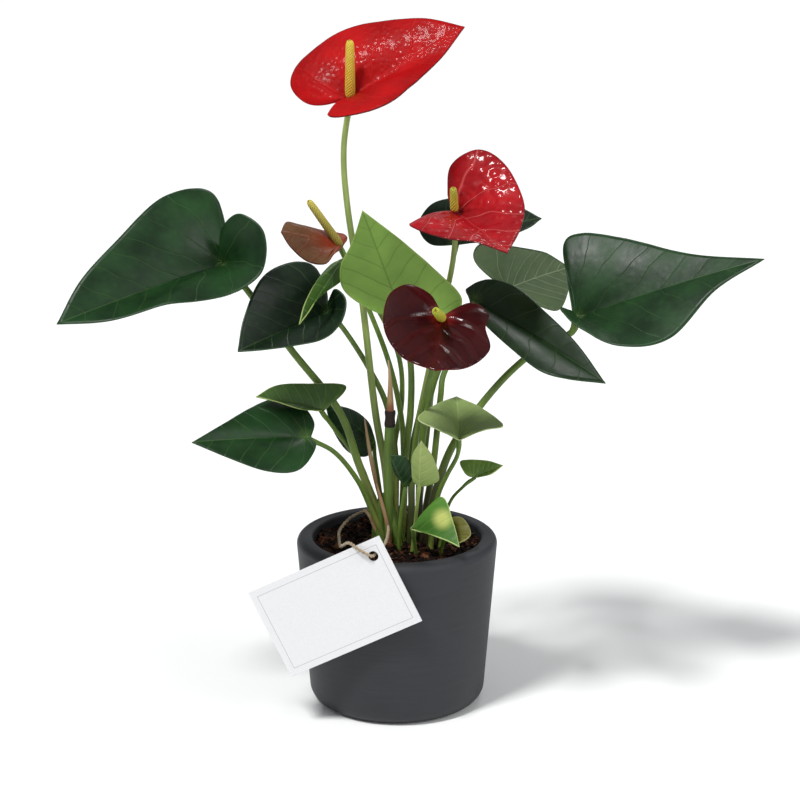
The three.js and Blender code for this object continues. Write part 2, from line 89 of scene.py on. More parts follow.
def unit(rows):
    return rows / np.maximum(np.linalg.norm(rows, axis=-1, keepdims=True), 1e-9)


def smoothStep(low, high, value):
    t = np.clip((value - low) / (high - low), 0, 1)
    return t * t * (3 - 2 * t)


def meshObject(name, points, faces, materials, smooth=True):  # points in millimetres
    mesh = bpy.data.meshes.new(name)
    mesh.from_pydata((np.asarray(points, float) * mm).tolist(), [], [tuple(face) for face in faces])
    for material in materials:
        mesh.materials.append(material)
    mesh.polygons.foreach_set("use_smooth", [smooth] * len(mesh.polygons))
    mesh.update()
    return linked(name, mesh)


def pointValues(piece, name, values):  # a number for each point, which a material reads by name
    piece.data.attributes.new(name, "FLOAT", "POINT").data.foreach_set(
        "value", np.asarray(values, np.float32))


def circleAngles(sides):
    return 2 * np.pi * np.arange(sides) / sides


def ringFaces(sides, row):  # quads from one ring of points to the next, the first of which starts at row
    return [(row + i, row + (i + 1) % sides, row + sides + (i + 1) % sides, row + sides + i)
            for i in range(sides)]


def domedMesh(name, rows, low, high, materials):  # rings of points, closed by a point at each end
    sides, last = len(rows[0]), len(rows) * len(rows[0]) + 1
    bands = [ringFaces(sides, 1 + r * sides) for r in range(len(rows) - 1)]
    faces = []
    for i in range(sides):
        j = (i + 1) % sides
        faces += [(0, 1 + j, 1 + i), (last, last - sides + i, last - sides + j)]
        faces += [quads[i] for quads in bands]
    return meshObject(name, [low, *[point for row in rows for point in row], high], faces, materials)


def joined(pieces, name):  # several mesh objects as one
    bpy.ops.object.select_all(action="DESELECT")
    for piece in pieces:
        piece.select_set(True)
    bpy.context.view_layer.objects.active = pieces[0]
    bpy.ops.object.join()
    pieces[0].name = pieces[0].data.name = name
    return pieces[0]


def settled(piece):  # its curve or its modifiers, worked into a plain mesh on an object of the same name
    graph = bpy.context.evaluated_depsgraph_get()
    mesh = bpy.data.meshes.new_from_object(piece.evaluated_get(graph), preserve_all_data_layers=True,
                                           depsgraph=graph)
    name, old = piece.name, piece.data
    bpy.data.objects.remove(piece)
    (bpy.data.curves if isinstance(old, bpy.types.Curve) else bpy.data.meshes).remove(old)
    mesh.name = name
    return linked(name, mesh)


def dressed(piece, node):  # the piece rides on the plant and stands for this node
    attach(piece, "root")
    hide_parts(node)
    return piece


# The next functions build trees of nodes, for geometry and for materials.
def feed(tree, socket, value):  # a link from another socket, or a plain value
    if isinstance(value, bpy.types.NodeSocket):
        tree.links.new(value, socket)
    else:
        socket.default_value = value


def addNode(tree, kind, inputs=None, **settings):  # inputs by name or number, settings by property
    made = tree.nodes.new(kind)
    for key, value in settings.items():
        setattr(made, key, value)
    for key, value in (inputs or {}).items():
        feed(tree, made.inputs[key], value)
    return made


def calc(tree, operation, *values, clamp=False):  # one Math node, and its result
    return addNode(tree, "ShaderNodeMath", dict(enumerate(values)), operation=operation,
                   use_clamp=clamp).outputs[0]


def vectorCalc(tree, operation, *values):
    made = addNode(tree, "ShaderNodeVectorMath", dict(enumerate(values)), operation=operation)
    return made.outputs["Value" if operation in ("LENGTH", "DISTANCE") else "Vector"]


def vectorOf(tree, **parts):  # X, Y and Z
    return addNode(tree, "ShaderNodeCombineXYZ", parts).outputs[0]


def partsOf(tree, vector):
    return addNode(tree, "ShaderNodeSeparateXYZ", {"Vector": vector}).outputs


def newGroup(name, kind, inputs, outputs):  # each input has a label, a kind and a default
    tree = bpy.data.node_groups.new(name, kind)
    for label, socketKind, value in inputs:
        made = tree.interface.new_socket(label, in_out="INPUT", socket_type="NodeSocket" + socketKind)
        if value is not None:
            made.default_value = value
    for label, socketKind in outputs:
        tree.interface.new_socket(label, in_out="OUTPUT", socket_type="NodeSocket" + socketKind)
    return tree, addNode(tree, "NodeGroupInput").outputs, addNode(tree, "NodeGroupOutput").inputs


def newTree(name, sizes):  # geometry in and out, named inputs for the sizes, and the surface
    geometry = ("Geometry", "Geometry")
    return newGroup(name, "GeometryNodeTree", [(*geometry, None), *sizes, ("Surface", "Material", None)],
                    [geometry])


def stored(tree, geometry, name, value, domain="POINT"):  # keeps a number that a material reads by name
    return addNode(tree, "GeometryNodeStoreNamedAttribute", {
        "Geometry": geometry, "Name": name, "Value": value}, data_type="FLOAT", domain=domain).outputs[0]


def realized(tree, geometry):  # instances turned into real geometry
    return addNode(tree, "GeometryNodeRealizeInstances", {"Geometry": geometry}).outputs[0]


def smoothed(tree, geometry):
    return addNode(tree, "GeometryNodeSetShadeSmooth", {
        "Geometry": geometry, "Shade Smooth": True}).outputs[0]


def finishTree(tree, geometry, given, out):
    surfaced = addNode(tree, "GeometryNodeSetMaterial", {"Geometry": geometry, "Material": given["Surface"]})
    tree.links.new(surfaced.outputs[0], out["Geometry"])
    return tree


def runTree(piece, tree, values):  # sets the inputs by their identifiers and keeps the result as mesh
    modifier = piece.modifiers.new("nodes", "NODES")
    modifier.node_group = tree
    for socket in tree.interface.items_tree:
        if socket.in_out == "INPUT" and socket.name in values:
            modifier[socket.identifier] = values[socket.name]
    return settled(piece)


# The next functions make up a material.
def newMaterial(name, **settings):  # settings go straight onto the shader's own sockets
    material = bpy.data.materials.new(name)
    material.use_nodes = True
    tree = material.node_tree
    shader = tree.nodes["Principled BSDF"]
    for key, value in settings.items():
        shader.inputs[key.replace("_", " ")].default_value = value
    return material, tree, shader


def rgb(code):  # a colour as it looks on screen, turned into linear light
    parts = [int(code[i:i + 2], 16) / 255 for i in (0, 2, 4)]
    return (*[p / 12.92 if p <= 0.04045 else ((p + 0.055) / 1.055) ** 2.4 for p in parts], 1.0)


def mixColour(tree, factor, a, b):  # each colour is a screen code or a socket
    made = addNode(tree, "ShaderNodeMix", data_type="RGBA")
    for index, value in ((0, factor), (6, a), (7, b)):
        feed(tree, made.inputs[index], rgb(value) if isinstance(value, str) else value)
    return made.outputs[2]


def tinted(tree, colour, mask, share, tint):  # the tint laid over the colour, by a share of the mask
    return mixColour(tree, calc(tree, "MULTIPLY", mask, share), colour, tint)


def band(tree, value, low, high):  # 1 below low, 0 above high, smooth between
    return addNode(tree, "ShaderNodeMapRange", {
        "Value": value, "From Min": low, "From Max": high, "To Min": 1.0, "To Max": 0.0},
        interpolation_type="SMOOTHSTEP").outputs["Result"]


def attribute(tree, name):
    return addNode(tree, "ShaderNodeAttribute", attribute_name=name).outputs["Fac"]


def objectPlace(tree):
    return addNode(tree, "ShaderNodeTexCoord").outputs["Object"]


def stretched(tree, place, scale):  # a small scale on one axis draws a pattern out along it
    return addNode(tree, "ShaderNodeMapping", {"Vector": place, "Scale": scale}).outputs[0]


def bumped(tree, shader, height):  # height in millimetres
    made = addNode(tree, "ShaderNodeBump", {"Height": height, "Distance": mm, "Strength": 1.0})
    for socket in ("Normal", "Coat Normal"):
        tree.links.new(made.outputs["Normal"], shader.inputs[socket])


def buildMottle():  # soft uneven patches, from 0 to 1
    tree, given, out = newGroup("mottle", "ShaderNodeTree", [
        ("Vector", "Vector", None), ("Scale", "Float", 10.0), ("Detail", "Float", 3.0),
        ("Contrast", "Float", 1.5)], [("Patches", "Float")])
    cloud = addNode(tree, "ShaderNodeTexNoise", {key: given[key] for key in ("Vector", "Scale", "Detail")})
    centred = calc(tree, "SUBTRACT", cloud.outputs["Fac"], 0.5)
    spread = calc(tree, "MULTIPLY_ADD", centred, given["Contrast"], 0.5, clamp=True)
    tree.links.new(spread, out["Patches"])
    return tree


mottle = buildMottle()


def patchesOf(tree, place, scale, contrast, detail=3.0):  # the looks give these three as one grain
    return addNode(tree, "ShaderNodeGroup", {
        "Vector": place, "Scale": scale, "Contrast": contrast, "Detail": detail},
        node_tree=mottle).outputs["Patches"]


# A blade's materials read its flat map and the numbers kept on its points.
flatUnit = 100.0  # millimetres to one unit of a blade's flat map, whose origin is the blade's base

# The wander is a share of the gap between two veins, and the rib's width is in vein widths.
veinMarks = {"wander": 0.5, "wanderScale": 5.0, "ribWidth": 1.6, "blisterEdge": 0.75, "blisterBlend": 0.5}


def buildBladeMarks():  # veins, midrib, blisters, rim, heart and quilting of a blade, each from 0 to 1
    names = ("Veins", "Midrib", "Blisters", "Rim", "Heart", "Quilt")
    tree, given, out = newGroup("bladeMarks", "ShaderNodeTree", [
        ("Flat", "Vector", None), ("Phase", "Float", 0.0), ("Spacing", "Float", 10.0),
        ("Margin", "Float", 10.0), ("Vein Width", "Float", 0.5), ("Blister Scale", "Float", 18.0),
        ("Rim Width", "Float", 0.6), ("Heart Reach", "Float", 0.12)], [(name, "Float") for name in names])
    cloud = addNode(tree, "ShaderNodeTexNoise", {
        "Vector": given["Flat"], "Scale": veinMarks["wanderScale"], "Detail": 1.0})
    shift = calc(tree, "MULTIPLY_ADD", cloud.outputs["Fac"], veinMarks["wander"], -veinMarks["wander"] / 2)
    phase = calc(tree, "FRACT", calc(tree, "ADD", given["Phase"], shift))
    offCentre = calc(tree, "ABSOLUTE", calc(tree, "SUBTRACT", phase, 0.5))
    offVein = calc(tree, "SUBTRACT", 0.5, offCentre)
    fromVein = calc(tree, "MULTIPLY", offVein, given["Spacing"])
    flat = partsOf(tree, given["Flat"])
    fromRib = calc(tree, "MULTIPLY", calc(tree, "ABSOLUTE", flat["X"]), flatUnit)
    ribWidth = calc(tree, "MULTIPLY", given["Vein Width"], veinMarks["ribWidth"])
    ahead = calc(tree, "GREATER_THAN", flat["Y"], 0.0)
    cells = addNode(tree, "ShaderNodeTexVoronoi", {
        "Vector": given["Flat"], "Scale": given["Blister Scale"], "Smoothness": veinMarks["blisterBlend"]},
        feature="SMOOTH_F1")
    marks = (
        band(tree, fromVein, 0.0, given["Vein Width"]),
        calc(tree, "MULTIPLY", band(tree, fromRib, 0.0, ribWidth), ahead),
        band(tree, cells.outputs["Distance"], 0.0, veinMarks["blisterEdge"]),
        band(tree, given["Margin"], 0.0, given["Rim Width"]),
        band(tree, vectorCalc(tree, "LENGTH", given["Flat"]), 0.0, given["Heart Reach"]),
        calc(tree, "SINE", calc(tree, "MULTIPLY", offVein, math.pi)))
    for name, mark in zip(names, marks):
        tree.links.new(mark, out[name])
    return tree


bladeMarks = buildBladeMarks()

# One face of a blade: two tones of its ground, its veins, rim and the heart round the joint. On the spathes
# the vein colour is partly painted highlight, the light caught along their raised veins.
# relief is in millimetres: the veins', the blisters' and the quilting's between the veins.
leafTop = {"deep": "08190a", "ground": "183e18", "veinAndHighlight": "4c6a38", "rim": "2c4826",
           "heart": "5a7a38", "veinShow": 0.24, "ribShow": 0.4, "blisterShow": 0.05, "heartShow": 0.35,
           "rimShow": 0.8, "relief": (-0.1, 0.05, 0.1), "roughness": 0.42, "specular": 0.25, "coat": 0.0,
           "veinWidth": 0.45, "blisterScale": 22.0, "heartReach": 0.08}
leafBack = {**leafTop, "relief": (0.2, 0.02, 0.06), "roughness": 0.58, "coat": 0.0, "veinShow": 0.5,
            "ribShow": 0.75}
spatheTop = {**leafTop, "blisterShow": 0.0, "veinShow": 0.2, "ribShow": 0.2, "roughness": 0.5,
             "specular": 0.1, "coat": 0.08, "relief": (0.2, 0.17, 0.15), "veinWidth": 1.0,
             "blisterScale": 34.0, "heartReach": 0.14}
bladeLooks = {
    "leafDark": leafTop,
    "leafWarm": {**leafTop, "deep": "0b1b0a", "ground": "172f13", "veinAndHighlight": "435c2c"},
    "leafDeepest": {**leafTop, "deep": "07130a", "ground": "0e2411", "veinShow": 0.22},
    "leafMid": {**leafTop, "deep": "26431a", "ground": "3c5c20", "veinAndHighlight": "86a050", "rim": "a4b46a"},
    "leafFresh": {**leafTop, "deep": "4c6e2c", "ground": "728f42", "veinAndHighlight": "a4b86c", "rim": "bcc888"},
    "leafBackDark": {**leafBack, "deep": "24402a", "ground": "3a5638", "veinAndHighlight": "708a5c"},
    "leafBackPale": {**leafBack, "deep": "668a38", "ground": "84a64c", "veinAndHighlight": "56782f", "rim": "a4b868"},
    "leafBackGrey": {**leafBack, "deep": "4a5c42", "ground": "60744f", "veinAndHighlight": "97a582"},
    # Painted sheen: this pale grey-green, lighter than the leaf's own green, stands in for the broad sheen
    # on the small leaf.
    "leafSoft": {**leafTop, "deep": "66803e", "ground": "8fa262", "veinAndHighlight": "a9b97a", "rim": "bcc890",
                 "specular": 0.4},
    "leafPatched": {**leafTop, "deep": "2c5418", "ground": "4c7c28", "veinAndHighlight": "86a04c", "rim": "b4c480",
                    "patch": "b4bc68", "patchPlace": (-0.12, 0.18, 0), "patchReach": 0.085},
    "leafPale": {**leafTop, "deep": "78904a", "ground": "98a664", "veinAndHighlight": "b0b880", "rim": "8c9858"},
    "leafOlive": {**leafTop, "deep": "4a4a18", "ground": "6a6828", "veinAndHighlight": "8c8a48", "rim": "98985a"},
    "spatheRed": {**spatheTop, "deep": "860709", "ground": "b80d10", "veinAndHighlight": "c42622", "rim": "4c1012",
                  "heart": "74080b", "coat": 0.05, "specular": 0.07, "relief": (0.2, 0.22, 0.15)},
    # Painted highlight: this pale pink vein colour, shown strongly here, stands in for light caught on the
    # raised veins.
    "spatheCrimson": {**spatheTop, "deep": "7c0710", "ground": "ae0d16", "veinAndHighlight": "dd5a58", "rim": "5c1418",
                      "heart": "5c0a10", "veinShow": 0.55, "relief": (0.7, 0.75, 0.3), "blisterScale": 19.0,
                      "coat": 0.3},
    "spatheMaroon": {**spatheTop, "deep": "1c0405", "ground": "3a090b", "veinAndHighlight": "52100f", "rim": "5c1214",
                     "heart": "8c1c14", "relief": (-0.7, 0.05, 0.5), "heartShow": 0.7, "heartReach": 0.11,
                     "specular": 0.06, "coat": 0.3, "veinWidth": 3.2},
    "spatheInside": {**spatheTop, "deep": "40140e", "ground": "6e5034", "veinAndHighlight": "7c2a20", "rim": "3c100c",
                     "heart": "94301a", "heartReach": 0.3, "heartShow": 0.7},
    "spatheBronze": {**spatheTop, "deep": "4c3020", "ground": "765038", "veinAndHighlight": "8c7048", "rim": "581c14",
                     "heart": "8c4420", "coat": 0.2},
    "spatheBackRed": {**spatheTop, "deep": "6c1014", "ground": "962024", "veinAndHighlight": "a84440", "rim": "5c241c",
                      "heart": "80502c", "coat": 0.15},
    "spatheBackMaroon": {**spatheTop, "deep": "2c1012", "ground": "481c1c", "veinAndHighlight": "64302a",
                         "rim": "581818", "heart": "5a4a22", "coat": 0.15},
}

bladeGround = {"broad": (4.0, 2.4), "fine": (60.0, 1.2), "fineShow": 0.25, "fineRelief": 0.02,
               "dullness": 0.2, "patchCore": 0.2, "coatRoughness": 0.09}


def bladeMaterial(name, look):
    material, tree, shader = newMaterial(name, Coat_Weight=look["coat"], Specular_IOR_Level=look["specular"],
                                         Coat_Roughness=bladeGround["coatRoughness"])
    flat = addNode(tree, "ShaderNodeUVMap", uv_map="flat").outputs["UV"]
    marks = addNode(tree, "ShaderNodeGroup", {
        "Flat": flat, "Phase": attribute(tree, "veinPhase"), "Spacing": attribute(tree, "veinSpacing"),
        "Margin": attribute(tree, "fromMargin"), "Vein Width": look["veinWidth"],
        "Blister Scale": look["blisterScale"], "Heart Reach": look["heartReach"]},
        node_tree=bladeMarks).outputs
    broad, fine = (patchesOf(tree, flat, *bladeGround[grain]) for grain in ("broad", "fine"))
    colour = mixColour(tree, broad, look["deep"], look["ground"])
    colour = tinted(tree, colour, fine, bladeGround["fineShow"], look["ground"])
    for mask, share, tint in (("Heart", "heartShow", "heart"), ("Blisters", "blisterShow", "veinAndHighlight"),
                              ("Veins", "veinShow", "veinAndHighlight"), ("Midrib", "ribShow", "veinAndHighlight"),
                              ("Rim", "rimShow", "rim")):
        colour = tinted(tree, colour, marks[mask], look[share], look[tint])
    if "patch" in look:
        away = vectorCalc(tree, "DISTANCE", flat, look["patchPlace"])
        near = band(tree, away, look["patchReach"] * bladeGround["patchCore"], look["patchReach"])
        colour = mixColour(tree, near, colour, look["patch"])
    tree.links.new(colour, shader.inputs["Base Color"])
    dullness = bladeGround["dullness"]
    gloss = calc(tree, "MULTIPLY_ADD", broad, dullness, look["roughness"] - dullness / 2)
    tree.links.new(gloss, shader.inputs["Roughness"])
    veinRelief, blisterRelief, quiltRelief = look["relief"]
    height = calc(tree, "MULTIPLY", calc(tree, "MAXIMUM", marks["Veins"], marks["Midrib"]), veinRelief)
    for mask, relief in ((marks["Blisters"], blisterRelief), (marks["Quilt"], quiltRelief),
                         (fine, bladeGround["fineRelief"])):
        height = calc(tree, "MULTIPLY_ADD", mask, relief, height)
    bumped(tree, shader, height)
    return material


bladeMaterials = {name: bladeMaterial(name, look) for name, look in bladeLooks.items()}
print("blade materials:", len(bladeMaterials))

# On a stalk or a husk, low and high colour its two ends, and foot its root as far as footReach.
stalkLooks = {
    "stalkGreen": {"low": "7c9438", "high": "5f7c2c", "shade": "3a5220", "foot": "959c48",
                   "footReach": 0.28, "roughness": 0.45},
    "stalkSheathed": {"low": "6c8430", "high": "5f7c2c", "shade": "3a4a1e", "foot": "2c1a10",
                      "footReach": 0.42, "roughness": 0.5},
    "stalkDark": {"low": "2a1a10", "high": "3c3a1c", "shade": "1c100a", "foot": "24140c", "footReach": 0.6,
                  "roughness": 0.55},
    "stalkPale": {"low": "7c9040", "high": "a4b468", "shade": "647a34", "foot": "8c984c", "footReach": 0.2,
                  "roughness": 0.45},
    "husk": {"low": "8a7448", "high": "b4a47c", "shade": "8a5a40", "foot": "74422c", "footReach": 0.3,
             "roughness": 0.7},
    "collarBrown": {"low": "2c1a12", "high": "24140e", "shade": "140c08", "foot": "1c100a",
                    "footReach": 0.2, "roughness": 0.7},
}
stalkGround = {"specular": 0.35, "patches": (45.0, 2.6), "patchShow": 0.55, "streaks": (500.0, 2.4),
               "streakStretch": (1, 1, 0.08), "streakShow": 0.4, "streakRelief": 0.1, "footCore": 0.4}


def stalkMaterial(name, look):
    material, tree, shader = newMaterial(name, Roughness=look["roughness"],
                                         Specular_IOR_Level=stalkGround["specular"])
    place, along = objectPlace(tree), attribute(tree, "along")
    patches = patchesOf(tree, place, *stalkGround["patches"])
    fibres = stretched(tree, place, stalkGround["streakStretch"])
    streaks = patchesOf(tree, fibres, *stalkGround["streaks"])
    colour = mixColour(tree, along, look["low"], look["high"])
    foot = band(tree, along, look["footReach"] * stalkGround["footCore"], look["footReach"])
    colour = mixColour(tree, foot, colour, look["foot"])
    colour = tinted(tree, colour, patches, stalkGround["patchShow"], look["shade"])
    colour = tinted(tree, colour, streaks, stalkGround["streakShow"], look["shade"])
    tree.links.new(colour, shader.inputs["Base Color"])
    bumped(tree, shader, calc(tree, "MULTIPLY", streaks, stalkGround["streakRelief"]))
    return material


stalkMaterials = {name: stalkMaterial(name, look) for name, look in stalkLooks.items()}
print("stalk materials:", len(stalkMaterials))

# A blade hangs on its base, where the stalk joins it. Its margin runs from the tip through a few
# points of each half, round the rear lobes, to the notch behind the stalk. The veins leave its midrib,
# so many in its length, and the basal veins fan out from its base.
bladeDetail = {"perSpan": 12, "window": 6, "rings": 22, "ringBunching": 0.85, "notchDepth": 0.05,
               "asideAngle": 50, "thickness": 0.7, "veins": 5.5, "basalVeins": 4.0, "veinSlope": 0.7,
               "veinCurve": 0.5, "veinShift": 0.5, "fullQuilt": 6, "quiltReach": 6, "ripple": 0.5,
               "rippleReach": 3, "ruffles": 2.0, "ruffleSize": 2, "seedStep": 3.7}


def bladeGrid(blade):
    stem = np.array(blade["base"], float)
    forward = np.array(blade["tip"], float) - stem
    notch = blade.get("notch", stem - forward * bladeDetail["notchDepth"])
    halves = [throughPoints([blade["tip"], *blade[side], notch], bladeDetail["perSpan"]) - stem
              for side in ("right", "left")]
    spokes = np.vstack([halves[0], halves[1][-2:0:-1]])
    count, turns = len(spokes), []
    for half in halves:  # the angle from the tip round to the notch, as if the blade were laid flat
        steps = np.sum(unit(half[1:]) * unit(half[:-1]), axis=1)
        turn = np.concatenate([[0], np.cumsum(np.arccos(np.clip(steps, -1, 1)))])
        turns.append(turn * np.pi / turn[-1])
    angles = np.concatenate([turns[0], -turns[1][-2:0:-1]])
    window = bladeDetail["window"]
    ups = unit(np.cross(np.roll(spokes, -window, axis=0), np.roll(spokes, window, axis=0)))
    return stem, forward, spokes, ups, angles, count


def bladeSkin(blade):
    stem, forward, spokes, ups, angles, count = bladeGrid(blade)
    lengths = np.linalg.norm(spokes, axis=1)
    size = np.linalg.norm(forward)
    cosines = np.sum(unit(spokes) * unit(forward), axis=1)
    aside = smoothStep(0, math.radians(bladeDetail["asideAngle"]), np.arccos(np.clip(cosines, -1, 1)))
    crown = lengths * (blade["arch"] + (blade["puff"] - blade["arch"]) * aside)
    points, shares, rings = [stem[None]], [np.zeros(1)], bladeDetail["rings"]
    faces = [(0, 1 + (i + 1) % count, 1 + i) for i in range(count)]
    for ring in range(1, rings + 1):
        share = (ring / rings) ** bladeDetail["ringBunching"]
        rise = 4 * share * (1 - share) * crown
        points.append(stem + spokes * share + ups * rise[:, None])
        shares.append(np.full(count, share))
        if ring < rings:
            faces += ringFaces(count, 1 + (ring - 1) * count)
    share = np.concatenate(shares)
    spread = np.concatenate([[0], np.tile(lengths, rings)])
    angle = np.concatenate([[0], np.tile(angles, rings)])
    return np.vstack(points), faces, share, spread, angle, size, unit(ups.sum(axis=0))


def veinField(share, spread, angle, size, blade):  # each point's place among the veins, and their distance
    side = share * spread / size * np.abs(np.sin(angle))
    ahead = share * spread / size * np.cos(angle)
    slope, curve = bladeDetail["veinSlope"], bladeDetail["veinCurve"]
    root = ahead - slope * side - curve * side ** 2
    first = math.atan2(1, slope)
    fan = np.arctan2(side, ahead - curve * side ** 2)
    basal = blade["basalVeins"] / (math.pi - first)
    phase = np.where(root > 0, root * blade["veins"], -(fan - first) * basal)
    spacing = np.where(root > 0, size / blade["veins"] / np.sqrt(1 + (slope + 2 * curve * side) ** 2),
                       share * spread / basal)
    return phase + bladeDetail["veinShift"], spacing


def bladeMesh(name, blade, seed):
    points, faces, share, spread, angle, size, up = bladeSkin(blade)
    phase, spacing = veinField(share, spread, angle, size, blade)
    piece = meshObject(name, points, faces, [bladeMaterials[blade[face]] for face in ("top", "under")])
    normals = np.zeros(len(points) * 3, np.float32)
    piece.data.vertices.foreach_get("normal", normals)
    reach, layer = bladeDetail["ruffleSize"], seed * bladeDetail["seedStep"]
    ruffle = [noise.noise(Vector((math.cos(a) * reach, math.sin(a) * reach, layer)))
              for a in angle * bladeDetail["ruffles"]]
    lift = bladeDetail["ripple"] * np.array(ruffle) * share ** bladeDetail["rippleReach"]
    quilt = -np.abs(np.cos(np.pi * (phase + 0.5)))
    lift += blade["quilt"] * quilt * np.minimum(spacing / bladeDetail["fullQuilt"], 1) * (
        1 - share ** bladeDetail["quiltReach"])
    moved = points + normals.reshape(-1, 3) * lift[:, None]
    piece.data.vertices.foreach_set("co", (moved * mm).astype(np.float32).ravel())
    pointValues(piece, "veinPhase", phase)
    pointValues(piece, "veinSpacing", spacing)
    pointValues(piece, "fromMargin", (1 - share) * spread)
    corners = np.zeros(len(piece.data.loops), np.int32)
    piece.data.loops.foreach_get("vertex_index", corners)
    flat = np.stack([share * spread * np.sin(angle), share * spread * np.cos(angle)], axis=1) / flatUnit
    piece.data.uv_layers.new(name="flat").data.foreach_set("uv", flat[corners].astype(np.float32).ravel())
    shell = piece.modifiers.new("thickness", "SOLIDIFY")
    shell.thickness = bladeDetail["thickness"] * mm
    shell.offset = 0
    shell.material_offset = 1
    shell.material_offset_rim = 0
    return settled(piece), Vector(up)


# A stalk is a tube along its line, a little swollen just below its blade.
stalkDetail = {"sides": 14, "perSpan": 16, "points": 60, "flare": 1.3, "taper": 0.4, "swollenLength": 9.0,
               "swollenFrom": 4, "swell": 0.35, "sunk": 0.3}


def buildStalkTree():  # a tube along a curve whose points carry its radius, with a number along it
    tree, given, out = newTree("stalkTube", [("Sides", "Int", 12)])
    along = addNode(tree, "GeometryNodeSplineParameter").outputs["Factor"]
    profile = addNode(tree, "GeometryNodeCurvePrimitiveCircle", {
        "Resolution": given["Sides"], "Radius": 1.0})
    tube = addNode(tree, "GeometryNodeCurveToMesh", {
        "Curve": stored(tree, given["Geometry"], "along", along), "Profile Curve": profile.outputs[0],
        "Scale": addNode(tree, "GeometryNodeInputRadius").outputs[0], "Fill Caps": True})
    return finishTree(tree, realized(tree, smoothed(tree, tube.outputs[0])), given, out)


stalkTree = buildStalkTree()


def tubePiece(name, line, radii, look):  # a stalk's tube along a line
    curve = bpy.data.curves.new(name, "CURVE")
    curve.dimensions = "3D"
    spline = curve.splines.new("POLY")
    spline.points.add(len(line) - 1)
    for point, place, radius in zip(spline.points, line, radii):
        point.co = (*(np.array(place) * mm), 1)
        point.radius = radius * mm
    return runTree(linked(name, curve), stalkTree, {
        "Sides": stalkDetail["sides"], "Surface": stalkMaterials[look]})


def stalkPiece(name, plant, up):  # from the soil up to the underside of the blade
    top = np.array(plant["base"], float) - np.array(up) * bladeDetail["thickness"] * stalkDetail["sunk"]
    line = evenly(throughPoints([*plant["stalk"], top], stalkDetail["perSpan"]), stalkDetail["points"])
    t = np.linspace(0, 1, len(line))
    radii = plant["radius"] * (stalkDetail["flare"] - stalkDetail["taper"] * t)
    fromTop = (1 - t) * lengthOf(line) - stalkDetail["swollenFrom"]
    radii *= 1 + stalkDetail["swell"] * np.exp(-(fromTop / (stalkDetail["swollenLength"] / 2)) ** 2)
    return tubePiece(name, line, radii, plant["stem"])


